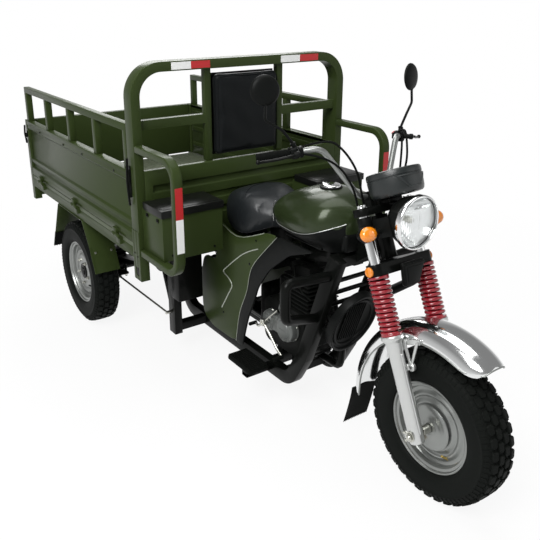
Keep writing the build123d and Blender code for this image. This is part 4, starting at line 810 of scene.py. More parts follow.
frontWheel = crossFrame(layout["wheelbase"], 0, layout["axleHeight"])
makeWheel("front", "", frontWheel, 1)
for side, word, flip in ((-1, "Right", 1), (1, "Left", -1)):
    rearWheel = crossFrame(0, side * layout["track"] / 2, layout["axleHeight"])
    makeWheel("rear", word, rearWheel, flip)
    makeRearFixings(word, rearWheel, flip, hubSetup)
makeValve("valveFront", frontWheel, rimSetup["frontValve"], 1, "goldZinc", ("front_rim", "front_hub"))
print("wheels ready")

# fork, axle and brake plate
forkTurn = Matrix((forkAhead, left, forkUp)).transposed().to_4x4()
forkSetup = {
    "leg": 113,
    "slider": ((0, -32), (21, -32), (25, -29.5), (27, -25), (27, 292), (29, 297), (29, 324), (31, 329),
               (38, 335),
               (40, 339), (40, 350), (38.5, 352), (19.2, 352)),
    "lugs": (((-47, -15, -29), (-18, 15, 16), 8), ((22, -5.5, 2), (30, 5.5, 286), 3),
             ((-30, -5.5, 30), (-22, 5.5, 286), 3)),  # corners, edge
    "tube": ((0, 352), (19, 352), (19, 800), (18.2, 806), (16, 807), (16, 813), (14.5, 814), (0, 814)),
    "boot": ((19.2, 360), (23, 361), (23, 553), (19.2, 554)),
    "turns": 12.0, "coilRadius": 31.0, "wire": 7.0, "low": 359.4, "high": 554.6,
    "seats": ((352.2, 360), (553.6, 561.8)), "seatBore": 21, "seatRim": 38,
    "pinchAhead": -36, "pinchOut": 15, "pinchUps": (-19, 8), "cap": 813.2,
}


def forkFrame(across, ahead=0, up=0):
    return Matrix.Translation(onFork(ahead, across, up)) @ forkTurn


def placedBlock(low, high, edge, segments, place):
    # a block given in millimetres in a frame of its own
    block = blockMesh(mm(*low), mm(*high), edge / 1000, segments)
    block.transform(place)
    return block


def makeFork(setup):
    sliders, tubes, springs, bolts, boots = [], [], [], [], []
    for side in (-1, 1):
        across = side * setup["leg"]
        place = forkFrame(across)
        sliders.append(turnedMesh(setup["slider"], place, 56))
        sliders += [placedBlock(low, high, edge, 3, place) for low, high, edge in setup["lugs"]]
        tubes.append(turnedMesh(setup["tube"], place, 48))
        springs.append(grown(coilTree, "springRed", None, forkFrame(across, 0, setup["low"]),
                             Turns=setup["turns"],
                             Radius=setup["coilRadius"] / 1000, Height=(setup["high"] - setup["low"]) / 1000,
                             Wire=setup["wire"] / 1000))
        bore, rim = setup["seatBore"], setup["seatRim"]
        for low, high in setup["seats"]:
            rows = [(bore, low), (rim - 1, low), (rim, low + 2), (rim, high - 2), (rim - 1, high),
                    (bore, high)]
            springs.append(turnedMesh(rows, place, 48))
        boots.append(turnedMesh(setup["boot"], place, 40))
        for up in setup["pinchUps"]:
            pinch = onFork(setup["pinchAhead"], across + side * setup["pinchOut"], up)
            bolts.append(boltMesh(pinch, left * side, 6.5, 6))
        bolts.append(boltMesh(onFork(0, across, setup["cap"]), forkUp, 11, 0.8))
    replaceNode("forkSliders", joined(*sliders), "silverCast", "fork_sliders")
    replaceNode("forkTubes", joined(*tubes), "chrome", "fork_tubes")
    replaceNode("forkSprings", joined(*springs), "springRed", "fork_springs")
    addPiece("forkBoots", joined(*boots), "softRubber", ("fork_springs", "control_cables"))
    addPiece("forkBolts", joined(*bolts), "zincPlate", ("fork_sliders", "front_axle"), 25)


axleSetup = {
    "plate": ((0, -50), (19, -50), (23, -52), (37, -52), (41, -49.6), (58, -48.6), (64, -50.4), (77, -50.4),
              (82, -49),
              (85.6, -46), (85.6, -42), (0, -42)),
    "rod": ((0, -154), (7.6, -154), (9, -152), (9, 152), (7.6, 154), (0, 154)),
    "spacers": ((-86, -52), (54, 86)),
    "washer": ((9, 140), (18, 140), (19, 141), (19, 142.6), (18, 143), (9, 143)),
    "nut": ((9, 143), (15, 143), (15, 149), (13, 150.6), (9, 150.6)),
    "cam": (2036, 224), "camRows": ((0, -59), (8, -59), (9, -58), (9, -50), (0, -50)),
    "eye": (2002, 262), "eyeRows": ((0, -60), (6, -60), (7, -59), (7, -50), (0, -50)),
    "arm": ((2002, -54, 262), (2012, -56, 238), (2036, -56, 224)),
}


def makeAxle(setup):
    replaceNode("brakePlate", turnedMesh(setup["plate"], frontWheel, 80), "rimPaint", "front_axle", 34)
    pieces = [turnedMesh(setup["rod"], frontWheel, 24)]
    for near, far in setup["spacers"]:
        rows = [(9, near), (15, near), (16, near + 1), (16, far - 1), (15, far), (9, far)]
        pieces.append(turnedMesh(rows, frontWheel, 32))
    for side in (-1, 1):
        pieces.append(turnedMesh(flipped(setup["washer"], side), frontWheel, 32))
        pieces.append(turnedMesh(flipped(setup["nut"], side), frontWheel, 6))
    addPiece("frontAxle", joined(*pieces), "zincPlate", "front_axle", 30)
    (camX, camZ), (eyeX, eyeZ) = setup["cam"], setup["eye"]
    lever = joined(tubeMesh([at(*spot) for spot in setup["arm"]], 4.6, 10, 3),
                   turnedMesh(setup["camRows"], crossFrame(camX, 0, camZ), 24),
                   turnedMesh(setup["eyeRows"], crossFrame(eyeX, 0, eyeZ), 20))
    addPiece("camLever", lever, "goldZinc", "front_axle")


makeFork(forkSetup)
makeAxle(axleSetup)
print("fork ready")

# control cables: the same routes as the solids, forward, left and up along the fork
barLine = {"end": (1453, -365, 1172), "bend": (1588, -183, 1210), "riser": (1670, -64, 1028), "radius": 11}
barEnd, barBend, barRiser = (at(*barLine[key]) for key in ("end", "bend", "riser"))
gripAlong = (barBend - barEnd).normalized()
gripUp = (Vector((0, 0, 1)) - gripAlong * gripAlong.z).normalized()
gripTurn = Matrix((gripAlong, gripUp.cross(gripAlong), gripUp)).transposed().to_4x4()
gripFrame = Matrix.Translation(barEnd) @ gripTurn
throttleRoute = dict(start=(168, 0, 15), radius=4, route=(
    (-2, -186, 1064), (28, -152, 1012), (34, -120, 930), (-4, -93, 860), (-22, -81, 803)))
leverRoute = dict(start=(168, -15, -8), radius=4,
                  route=((-20, -170, 1000), (-14, -104, 872), (-33, -103, 803)))
brakeRoute = dict(start=None, radius=3, route=(
    (-28, -65, 562), (-48, -80, 440), (-48, -100, 330), (-46, -100, 170), (-48, -70, 90), (-43, -52, 51)))
cableSetup = {  # name: route, whether it is on the left
    "throttleCable": (throttleRoute, False), "chokeCable": (throttleRoute, True),
    "brakeLeverCable": (leverRoute, False), "clutchCable": (leverRoute, True),
    "frontBrakeCable": (brakeRoute, False),
}


def acrossMiddle(spot):
    return Vector((spot.x, -spot.y, spot.z))


def makeCable(name, setup, onLeft):
    route = [onFork(*spot) for spot in setup["route"]]
    if setup["start"]:
        route.insert(0, gripFrame @ mm(*setup["start"]))
    if onLeft:
        route = [acrossMiddle(spot) for spot in route]
    curve = newCurve(name, route, setup["radius"], 3, 12)
    curve.materials.append(finish["softRubber"])
    cable = newObject(name, curve)
    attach(cable, nodeBody["control_cables"])
    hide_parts("control_cables")


for cableName, (cableRoute, onLeft) in cableSetup.items():
    makeCable(cableName, cableRoute, onLeft)
print("cables ready")

# handlebar, grips, levers and mirrors
handSetup = {
    "gripStart": ((11.4, 0), (15, 0), (16.6, 2), (16.6, 6)), "gripRibs": 18, "ribPitch": 6,
    "gripRib": ((15.2, 8), (15.2, 10), (16.4, 11), (16.4, 13)),
    "gripEnd": ((16, 114), (20, 116), (21, 118), (21, 120), (19, 122), (11.4, 122)),
    "blocks": (((122.4, -21, -22), (150, 21, 20), 8), ((150.4, -19, -20), (168, 19, 18), 7),
               ((133, -56, -9), (157, -14, 9), 5), ((128, 17, -12), (160, 26, 12), 4)),  # corners, edge
    "buttons": (((131, 20, 12), (131, 25, 15), 4.6), ((143, 22, 8), (143, 29, 10), 4)),  # ends, radius
    "blade": ((145, -47, 0), (120, -58, 0), (70, -56, -4), (30, -58, -4), (8, -64, -2)), "bladeRadius": 5.2,
    "ball": ((0, -8), (4.6, -6.6), (7.4, -3), (8, 0), (7.4, 3), (4.6, 6.6), (0, 8)),
    "ballPlace": (8, -63, -2),
    "pivot": ((145, -47, -11), (145, -47, 11), 7),
}
mirrorSetup = {
    "foot": (145, 0, 0), "glass": (1490, -352, 1411), "boss": (16, 38), "bossRadius": 8,
    "nut": ((0, 30), (10.5, 30), (10.5, 36), (0, 36)), "facing": (1, -0.32, 0.1),
    "shell": ((0, 9), (22, 8.4), (38, 6.4), (47, 2.6), (52, -3), (53, -7), (52, -9), (49.4, -9),
              (48.6, -6.6),
              (0, -6.6)),
    "face": ((48.4, -6.2), (0, -6.2), (0, -7.6), (30, -7.8), (48.4, -8.2)),
    "neck": 50, "stemRadius": 5,
}


def inGrip(x, y, z):
    return gripFrame @ mm(x, y, z)


def makeHandlebar(setup, mirror):
    right = [barEnd, barBend, barRiser]
    bar = tubeMesh(right + [acrossMiddle(spot) for spot in reversed(right)], barLine["radius"], 62, 5, 8)
    replaceNode("handlebarTube", bar, "rimPaint", "handlebar", 60)
    ribs = [(radius, along + step * setup["ribPitch"]) for step in range(setup["gripRibs"])
            for radius, along in setup["gripRib"]]
    profile = [*setup["gripStart"], *ribs, *setup["gripEnd"]]
    grip = turnedMesh(profile, axisFrame(barEnd, gripAlong, gripUp), 32)
    replaceNode("grips", pair(grip), "softRubber", "hand_controls", 30)
    blocks = [placedBlock(low, high, edge, 3, gripFrame) for low, high, edge in setup["blocks"]]
    foot, glass = inGrip(*mirror["foot"]), at(*mirror["glass"])
    up = (glass - foot).normalized()
    bossLow, bossHigh = (foot + up * rise / 1000 for rise in mirror["boss"])
    blocks.append(rodMesh(bossLow, bossHigh, mirror["bossRadius"], 24))
    blocks.append(turnedMesh(mirror["nut"], axisFrame(foot, up, (1, 0, 0)), 6))
    addPiece("switches", pair(*blocks), "blackPlastic", "hand_controls")
    buttons = [rodMesh(inGrip(*low), inGrip(*high), radius, 16) for low, high, radius in setup["buttons"]]
    addPiece("redButtons", pair(*buttons), "redLens", "hand_controls")
    blade = tubeMesh([inGrip(*spot) for spot in setup["blade"]], setup["bladeRadius"], 24, 3)
    ball = turnedMesh(setup["ball"], Matrix.Translation(inGrip(*setup["ballPlace"])), 16)
    low, high, radius = setup["pivot"]
    pivot = rodMesh(inGrip(*low), inGrip(*high), radius, 16)
    addPiece("levers", pair(blade, ball, pivot), "blackPaint", "hand_controls", 50)
    return bossHigh, glass


def makeMirrors(stemFoot, glass, setup):
    axis = Vector(setup["facing"]).normalized()
    place = axisFrame(glass, axis, (0, 0, 1))
    neck = glass - mm(0, 0, setup["neck"]) + axis * 0.002
    stem = tubeMesh([stemFoot, stemFoot + (neck - stemFoot) * 0.35 + mm(4, -6, 0), neck - mm(-2, 4, 50),
                     neck,
                     glass + axis * 0.004], setup["stemRadius"], 24, 3)
    shells = pair(turnedMesh(setup["shell"], place, 48), stem)
    replaceNode("mirrorShells", shells, "blackPlastic", "mirrors")
    addPiece("mirrorGlass", pair(turnedMesh(setup["face"], place, 48)), "mirrorGlass", "mirrors", 30)


makeMirrors(*makeHandlebar(handSetup, mirrorSetup), mirrorSetup)
print("handlebar ready")

# headlamp, indicators, pod and horn cover
lampSetup = {
    "ahead": 131, "up": 712, "armStart": 78.5,
    "bucket": ((0, -95), (36, -94), (58, -86), (74, -68), (86, -42), (91, -20), (92, -11), (88, -11),
               (86, -22),
               (80, -44), (66, -66), (50, -80), (0, -86)),
    "rim": ((98, -9), (98, 2), (97, 7), (94, 10.4), (90.6, 11), (89, 9), (89, 4), (89, -8), (93, -11),
            (97, -11)),
    "lens": 88.6, "lensSeat": 1.5, "lensBack": -2.5, "bulge": 9, "flute": 0.8, "flutePitch": 10.5,
    "fluteBand": 52,
    "rings": 22, "steps": 112,
    "dish": (9, 14, 24, 36, 48, 60, 72, 80, 86), "dishBack": -66, "dishDepth": 60, "dishWall": 2.4,
    "bulb": ((0, -70), (10, -70), (10, -56), (8, -52), (9, -44), (8.4, -36), (6, -31), (0, -29)),
    "shield": ((0, -27), (7, -27.4), (11, -31), (12, -38), (10.8, -38), (10, -32), (0, -29)),
    "clip": ((-9, 94, -10), (9, 98.5, 8.5), 1.5),
}
lampFrame = axisFrame(onFork(lampSetup["ahead"], 0, lampSetup["up"]), (1, 0, 0), (0, 1, 0))


def lampArms(setup):
    # the solid's arms, without its bucket
    work = workOn(softenedMesh("headlamp_shell", 0.004, 3))
    inside = [vert for vert in work.verts if abs(vert.co.y) < setup["armStart"] / 1000]
    bmesh.ops.delete(work, geom=inside, context="VERTS")
    return meshOf(work)


def lensMesh(setup):
    # a bulged disc with upright flutes, shallower above and below the middle
    reach, rings, steps = setup["lens"], setup["rings"], setup["steps"]
    points = []
    for ring in range(rings + 1):
        radius = reach * ring / rings
        for step in range(steps):
            angle = math.tau * step / steps
            across, rise = radius * math.cos(angle), radius * math.sin(angle)
            band = 1 if abs(rise) < setup["fluteBand"] else 0.35
            wave = math.cos(math.tau * across / setup["flutePitch"]) * band if ring < rings else 0
            bulge = setup["bulge"] * (1 - (radius / reach) ** 2)
            points.append(lampFrame @ mm(across, rise, setup["lensSeat"] + bulge + setup["flute"] * wave))
    back = len(points)
    for step in range(steps):
        angle = math.tau * step / steps
        points.append(lampFrame @ mm(reach * math.cos(angle), reach * math.sin(angle), setup["lensBack"]))
    return solidMesh(points, gridFaces(rings + 2, steps) + [tuple(range(back, back + steps))])


def makeHeadlamp(setup):
    nodes = ("headlamp_shell", "headlamp_rim")
    replaceNode("lampBucket", turnedMesh(setup["bucket"], lampFrame), "glossBlack", "headlamp_shell", 30)
    replaceNode("lampRim", turnedMesh(setup["rim"], lampFrame, 96), "chrome", "headlamp_rim")
    replaceNode("lampLens", lensMesh(setup), "clearGlass", "headlamp_lens", 60)
    first, *others = setup["dish"]
    dish = [(first, setup["dishBack"])]
    dish += [(r, setup["dishBack"] + setup["dishDepth"] * (r / others[-1]) ** 2) for r in others]
    dish += [(r, along - setup["dishWall"]) for r, along in reversed(dish)]
    addPiece("lampReflector", turnedMesh(dish, lampFrame), "chrome", nodes)
    bulb = joined(turnedMesh(setup["bulb"], lampFrame, 24), turnedMesh(setup["shield"], lampFrame, 24))
    addPiece("lampBulb", bulb, "zincPlate", nodes)
    low, high, edge = setup["clip"]
    addPiece("rimClip", placedBlock(low, high, edge, 2, lampFrame), "blackPlastic", nodes[::-1])


indicatorSetup = {
    "spread": 165, "squash": (1.16, 0.9),
    "rear": ((0, 26), (14, 27), (23, 32), (28, 42), (30, 56), (30, 59.4), (27, 59.4), (0, 56)),
    "front": ((0, 56), (27, 57), (29.6, 59.6), (29.4, 64), (27, 71), (22, 77), (14, 80.4), (0, 81.4)),
    "reflector": ((0, -3), (17, -3), (18, -1.6), (18, 4), (16, 6.4), (12, 7), (0, 7)),
    "reflectorPlace": (146, 582),
}


def makeIndicators(setup, arms):
    housing, lens = [arms], []
    ahead = Matrix(((0, 0, 1, 0), (1, 0, 0, 0), (0, 1, 0, 0), (0, 0, 0, 1)))  # turns the axis forward
    spread, up = setup["reflectorPlace"]
    for side in (-1, 1):
        place = forkFrame(side * setup["spread"], 0, lampSetup["up"]) @ ahead
        place = place @ Matrix.Diagonal((*setup["squash"], 1, 1))
        housing.append(turnedMesh(setup["rear"], place, 48))
        lens.append(turnedMesh(setup["front"], place, 48))
        disc = axisFrame(onFork(0, side * spread, up), left * side, forkUp)
        lens.append(turnedMesh(setup["reflector"], disc, 40))
    addPiece("lampArms", joined(*housing), "blackPlastic", "headlamp_shell")
    replaceNode("amberLenses", joined(*lens), "amberLens", "amber_lenses")


podSetup = {
    "ahead": 74, "face": 896,
    "rows": ((0, 818), (72, 818), (86, 820), (92, 826), (95, 838), (97, 872), (97, 881), (95.4, 882.4),
             (95.4, 884.6),
             (97, 886), (97, 899), (94.6, 905.4), (91, 907.6), (87, 907.6), (84.6, 904), (84, 896),
             (0, 896)),
    "shield": ((-40, 880), (-17, 834), (17, 834), (40, 880)), "shieldMiddle": 860, "shieldSteps": 10,
     # angle, up
    "shieldRings": ((1.0, -1.5), (1.0, 2.6), (0.94, 3.6), (0.80, 3.6), (0.76, 1.6)),
     # share of the outline, lift
    "dials": ((-42, -6, 36), (42, -6, 36), (0, 50, 20)),  # across, ahead, radius
    "ticks": 16, "tick": ((-3, -0.7, 0), (3, 0.7, 0.6), 0.2), "handTurn": 2.2,
}


def shieldMesh(setup, place):
    # a raised shield bent round the pod's front
    corners, steps = setup["shield"], setup["shieldSteps"]
    points = []
    for share, lift in setup["shieldRings"]:
        for near, far in zip(corners, corners[1:] + corners[:1]):
            for step in range(steps):
                angle, up = (a + (b - a) * step / steps for a, b in zip(near, far))
                up = setup["shieldMiddle"] + (up - setup["shieldMiddle"]) * share
                radius = lift + (95 + 2 * (up - 838) / 34 if up < 872 else 97)  # the drum's own slope
                turn = math.radians(angle * share)
                points.append(place @ mm(radius * math.cos(turn), radius * math.sin(turn), up))
    count, rings = len(corners) * steps, len(setup["shieldRings"])
    return solidMesh(points, gridFaces(rings, count) + [tuple(range((rings - 1) * count, rings * count))],
                     True)


def makePod(setup):
    place = forkFrame(0, setup["ahead"])
    drum = joined(turnedMesh(setup["rows"], place, 96), shieldMesh(setup, place))
    replaceNode("podDrum", drum, "podPlastic", "instrument_pod", 36)
    dials, rings, hands = [], [], []
    low, high, edge = setup["tick"]
    tick = blockMesh(mm(*low), mm(*high), edge / 1000, 1)
    for across, ahead, radius in setup["dials"]:
        spot = place @ Matrix.Translation(mm(ahead, across, setup["face"]))
        dials.append(turnedMesh([(0, 0.4), (radius, 0.4), (radius, 2.2), (0, 2.2)], spot, 40))
        rim = [(radius, 0.4), (radius + 3.6, 0.4), (radius + 3.6, 5), (radius + 1, 6.4), (radius, 5)]
        rings.append(turnedMesh(rim, spot, 40))
        hand = blockMesh(mm(-4, -1.1, 2.4), mm(radius * 0.78, 1.1, 3.6), 0.0004, 1,
                         Matrix.Rotation(setup["handTurn"], 4, "Z"))
        hand.transform(spot)
        hands += [hand,
                  grown(ringTree, "blackPlastic", tick, spot, Count=setup["ticks"], Radius=radius * 0.00084,
                              Across=0.0022)]
    addPiece("dials", joined(*dials), "dialWhite", "instrument_pod")
    addPiece("dialRings", joined(*rings), "chrome", "instrument_pod")
    addPiece("dialHands", joined(*hands), "blackPlastic", "instrument_pod")


hornSetup = {
    "x": 1871, "low": 751, "height": 92, "top": 112, "bottom": 72,
    "layers": ((0.99, 0, 20, 9, 4), (0.90, 17, 6.5, 5, 3), (0.66, 22, 3.6, 3, 3)),
     # share, ahead, depth, edge, segments
    "stay": ((33, -18, 564), (53, 18, 583), 2),
}


def makeHornCover(setup):
    low, height = setup["low"], setup["height"]
    top, bottom = setup["top"] / 2, setup["bottom"] / 2
    middle = low + height * 0.52
    corners = ((-top, low + height), (top, low + height), (bottom, low), (-bottom, low))
    meshes = []
    for share, ahead, depth, edge, segments in setup["layers"]:
        line = [at(setup["x"] + ahead, across * share, middle + (up - middle) * share) for across,
                up in corners]
        meshes.append(plateMesh(line, mm(depth, 0, 0), edge / 1000, segments))
    start, end, edge = setup["stay"]
    meshes.append(placedBlock(start, end, edge, 2, forkFrame(0)))
    replaceNode("hornCover", joined(*meshes), "blackPlastic", "horn_cover")


makeHeadlamp(lampSetup)
makeIndicators(indicatorSetup, lampArms(lampSetup))
makePod(podSetup)
makeHornCover(hornSetup)
print("lamps and pod ready")

# front fender with its brackets and flap
fenderSetup = {"crown": 385, "edge": 326, "half": 78, "front": 57, "rear": 185, "tip": 11, "steps": 52,
               "columns": 28,
               "wall": 2.6, "lip": 1.0, "bead": 3.2, "tipBead": 2.6}


def makeFender(setup):
    middle = at(layout["wheelbase"], 0, layout["axleHeight"])
    points = []
    shares = [-1 + 2 * step / setup["columns"] for step in range(setup["columns"] + 1)]
    for row in range(setup["steps"] + 1):
        angle = setup["front"] + (setup["rear"] - setup["front"]) * (row / setup["steps"]) ** 1.15
        into = min(1, (angle - setup["front"]) / setup["tip"])
        grow = math.sqrt(max(0, 1 - (1 - into) ** 2))  # rounded front end
        turn = math.radians(angle)
        for share in shares:
            drop = (setup["crown"] - setup["edge"]) * abs(share) ** 2.5 * (0.35 + 0.65 * grow)
            across = setup["half"] * (math.sin(share * 1.25) / math.sin(1.25)) * (0.6 + 0.4 * grow)
            lip = math.copysign(setup["lip"], share) if abs(share) > 0.97 else 0
            radius = setup["crown"] - drop
            points.append(middle + mm(radius * math.cos(turn), across + lip, radius * math.sin(turn)))
    width = len(shares)
    shell = newObject("fenderShell", meshFrom(points, gridFaces(setup["steps"] + 1, width, around=False)))
    thick = shell.modifiers.new("thick", "SOLIDIFY")
    thick.thickness, thick.offset = setup["wall"] / 1000, -1
    rounded = shell.modifiers.new("rounded", "BEVEL")
    rounded.width, rounded.segments = 0.001, 2
    mesh = closedMesh(workOn(evaluated(shell)))
    bpy.data.objects.remove(shell)
    replaceNode("frontFender", mesh, "chrome", "front_fender", 50)
    # the rolled lips are drawn in a darker grey than the chrome fender: painted shade along its edges
    bead = splineMesh(points[:(setup["steps"] + 1) * width:4 * width], setup["bead"], 2, 4)
    tip = splineMesh(points[:width:2], setup["tipBead"], 2, 4)
    addPiece("fenderLipsPaintedShade", joined(pair(bead), tip), "rimPaint", "front_fender", 50)


bracketSetup = {
    "across": -86, "legs": ((24, 330), (88, 318)), "legHalf": 7, "eye": (41, 234), "eyeOut": 9,  # ahead, up
    "legFoot": ((46, 236), (34, 236)), "top": ((-66, 314), (92, 306), (96, 326), (-66, 334)), "edge": 0.0025,
    "eyeRows": ((6.5, -7), (13, -7), (15, -5), (15, 5), (13, 7), (6.5, 7)),
    "foot": ((18, -106, 224), (34, -86, 246), 4), "stay": ((-60, 0, 318), (-34, -8, 268), (-22, -20, 236)),
}


def makeFenderBrackets(setup):
    across, half = setup["across"], setup["legHalf"]
    pieces = []
    for ahead, rise in setup["legs"]:  # two legs meet at an eye ahead of the leg
        strip = [onFork(ahead - half, across, rise), onFork(ahead + half, across, rise)]
        strip += [onFork(x, across - half, up) for x, up in setup["legFoot"]]
        pieces.append(plateMesh(strip, mm(0, -7, 0), setup["edge"]))
    pieces.append(plateMesh([onFork(x, across, up) for x, up in setup["top"]], mm(0, 9, 0), setup["edge"]))
    ahead, up = setup["eye"]
    eye = axisFrame(onFork(ahead, across - setup["eyeOut"], up), left, forkUp)
    pieces.append(turnedMesh(setup["eyeRows"], eye, 32))
    low, high, edge = setup["foot"]
    pieces.append(placedBlock(low, high, edge, 3, forkFrame(0)))
    pieces.append(tubeMesh([onFork(x, across + out, up) for x, out, up in setup["stay"]], 4, 20, 3))
    replaceNode("fenderBrackets", pair(*pieces), "silverCast", "fender_stays", 35)


flapSetup = {"half": 62, "wall": 4.4, "length": 184, "flare": 42, "bow": 5, "rows": 8, "teeth": 15,
             "bite": 9,
             "seat": 0.4, "lift": 2}


def makeFlap(setup):
    turn = math.radians(fenderSetup["rear"])
    reach = fenderSetup["crown"] - setup["seat"]
    top = at(layout["wheelbase"] + reach * math.cos(turn), 0,
             layout["axleHeight"] + reach * math.sin(turn) + setup["lift"])
    rows, columns, half = setup["rows"], 2 * setup["teeth"] + 1, setup["half"]
    points, faces = [], []
    for layer in (0, 1):
        for row in range(rows):
            share = row / (rows - 1)
            for column in range(columns):
                across = -half + 2 * half * column / (columns - 1)
                bite = setup["bite"] if row == rows - 1 and column % 2 else 0
                bow = setup["bow"] * math.sin(math.pi * share) * (1 - (across / half) ** 2)
                back = layer * setup["wall"] - setup["flare"] * share ** 1.3 - bow
                points.append(top + mm(back, across, bite - setup["length"] * share))
    far = rows * columns
    near = gridFaces(rows, columns, around=False)
    faces = near + [tuple(spot + far for spot in reversed(face)) for face in near]
    for row in range(rows - 1):
        for a in (row * columns, row * columns + columns - 1):
            faces.append((a, a + columns, far + a + columns, far + a))
    for row in (0, rows - 1):
        for a in range(row * columns, row * columns + columns - 1):
            faces.append((a, a + 1, far + a + 1, far + a))
    replaceNode("fenderFlap", solidMesh(points, faces), "softRubber", "fender_flap", 30)


makeFender(fenderSetup)
makeFenderBrackets(bracketSetup)
makeFlap(flapSetup)
print("fender ready")

# smooth skins through a few sections
def eased(values, place):
    # a smooth line through evenly numbered values
    count = len(values) - 1
    step = min(int(place), count - 1)
    share = place - step
    a, b, c, d = (values[max(0, min(count, step + shift))] for shift in (-1, 0, 1, 2))
    bend, twist = 2 * a - 5 * b + 4 * c - d, 3 * b - a - 3 * c + d
    return 0.5 * (2 * b + (c - a) * share + bend * share ** 2 + twist * share ** 3)


def easedRow(rows, place):
    return [eased([row[column] for row in rows], place) for column in range(len(rows[0]))]


def skinMesh(rows, halfRing, stations, around, tips):
    # a closed skin: each station's half ring of (half width, height) is mirrored; tips close the two ends
    rings = []
    for station in range(stations + 1):
        row = easedRow(rows, station / stations * (len(rows) - 1))
        half = halfRing(row)
        side = [easedRow(half, step / around * (len(half) - 1)) for step in range(around + 1)]
        rings.append([(row[0], -y, z) for y, z in side] + [(row[0], y, z) for y, z in reversed(side[1:-1])])
    caps = []
    for ring, (reach, share) in zip((rings[0], rings[-1]), tips):
        middle = sum(z for _, _, z in ring) / len(ring)
        caps.append([(reach, y * share, middle + (z - middle) * share) for _, y, z in ring])
    rings = [caps[0], *rings, caps[1]]
    points = [at(*spot) for ring in rings for spot in ring]
    count = len(rings[0])
    ends = [tuple(range(count)), tuple(range(len(points) - count, len(points)))]
    return solidMesh(points, gridFaces(len(rings), count) + ends, True)


# fuel tank with its lower cover, cap and edge lines
tankSetup = {
    "rows": ((1187, 92, 848, 892, 48), (1230, 132, 838, 937, 70), (1300, 157, 814, 976, 86),
             (1390, 171, 812, 1002, 92),
             (1497, 172, 812, 1005, 92), (1560, 152, 818, 996, 80),
             (1622, 70, 846, 958, 34)),  # x, half width, low, high, top
    "tips": ((1184.6, 0.55), (1625, 0.55)),  # x, share of the end ring
    "nose": ((1596, -84, 800), (1629, 84, 876), 14),
    "rearPiping": ((1262, -142, 930), (1222, -126, 905), (1202, -108, 872), (1214, -118, 846),
                   (1238, -134, 838)),
    "cap": (1437, 1006),
    "capRing": ((26, -4), (44, -4), (45, -1), (44, 3), (41, 5), (39, 5), (38, 3), (26, 3)),
    "capLid": ((0, 3), (37, 3), (37, 8), (35, 11), (30, 12.6), (0, 13.6)),
}
coverSetup = {
    "rear": 1228, "front": 1618, "steps": 36, "low": 799,
    "line": 845, "riseFrom": 1380, "rise": 0.00125,  # its upper edge climbs towards the front
    "rearDepth": 8, "fullDepthAt": 0.3,
    "profile": ((-2, 0), (5, 0.02), (6, 0.2), (7, 0.45), (7, 0.75), (2, 1)),  # out, share of the depth
    "wall": 0.003,
}


def tankHalf(row):
    _, half, low, high, top = row
    tall = high - low
    return [(0, low), (half * 0.55, low), (half * 0.88, low + tall * 0.10), (half, low + tall * 0.36),
            (half * 0.955, low + tall * 0.62), (top + (half - top) * 0.42, high - tall * 0.13),
            (top * 0.62, high - tall * 0.015), (0, high)]


def tankSide(rows, x):
    # (half width, height) points of the tank's side at one place along it
    index = max(step for step in range(len(rows) - 1) if rows[step][0] <= x)
    share = (x - rows[index][0]) / (rows[index + 1][0] - rows[index][0])
    half = tankHalf(easedRow(rows, index + share))
    return [easedRow(half, 1.2 + 4 * part / 80) for part in range(81)]


def coverMesh(rows, setup):
    # a shell on the tank's lower side, and the line of its upper edge
    steps, points, edge = setup["steps"], [], []
    for step in range(steps + 1):
        share = step / steps
        x = setup["rear"] + (setup["front"] - setup["rear"]) * share
        line = setup["line"] + max(0, x - setup["riseFrom"]) ** 2 * setup["rise"]
        full = math.sin(math.pi / 2 * min(1, share / setup["fullDepthAt"]))
        depth = setup["rearDepth"] + (line - setup["low"]) * full
        side = tankSide(rows, x)
        widths = []
        for out, drop in setup["profile"]:
            height = line - depth * drop
            widths.append(out + min(side, key=lambda spot: abs(spot[1] - height))[0])
            points.append(at(x, -widths[-1], height))
        edge.append(at(x, -widths[1], line))
    shell = newObject("coverShell",
                      meshFrom(points, gridFaces(steps + 1, len(setup["profile"]), around=False)))
    thick = shell.modifiers.new("thick", "SOLIDIFY")
    thick.thickness, thick.offset = setup["wall"], 0
    smooth = shell.modifiers.new("smooth", "SUBSURF")
    smooth.levels = smooth.render_levels = 1
    mesh = closedMesh(workOn(evaluated(shell)))
    bpy.data.objects.remove(shell)
    return mesh, edge


def makeTank(setup):
    tank = skinMesh(setup["rows"], tankHalf, 44, 40, setup["tips"])
    replaceNode("fuelTank", tank, "tankPaint", "fuel_tank", 60)
    cover, edge = coverMesh(setup["rows"], coverSetup)
    low, high, corner = setup["nose"]
    nose = blockMesh(at(*low), at(*high), corner / 1000, 4)
    tray = softenedMesh("tank_trim", 0.006, 3)
    replaceNode("tankCover", joined(pair(cover), nose, tray), "blackPlastic", "tank_trim", 50)
    rear = splineMesh([at(*spot) for spot in setup["rearPiping"]], 1.8, 2)
    addPiece("tankPiping", pair(splineMesh(edge, 1.3, 2, 3), rear), "silverCast", "fuel_tank", 60)
    x, top = setup["cap"]
    place = axisFrame(at(x, 0, top), (0, 0, 1), (1, 0, 0))
    hinge = blockMesh(at(x - 48, -8, top - 1), at(x - 34, 8, top + 10))
    replaceNode("capRing", turnedMesh(setup["capRing"], place), "blackPlastic", "filler_cap")
    addPiece("capLid", joined(turnedMesh(setup["capLid"], place, 56), hinge), "chrome", "filler_cap")


makeTank(tankSetup)
print("tank ready")

# soft pads swollen by cloth pressure
clothSetup = {"voxel": 0.006, "pressure": 4.0, "stiffness": 12, "quality": 4, "frames": 20}


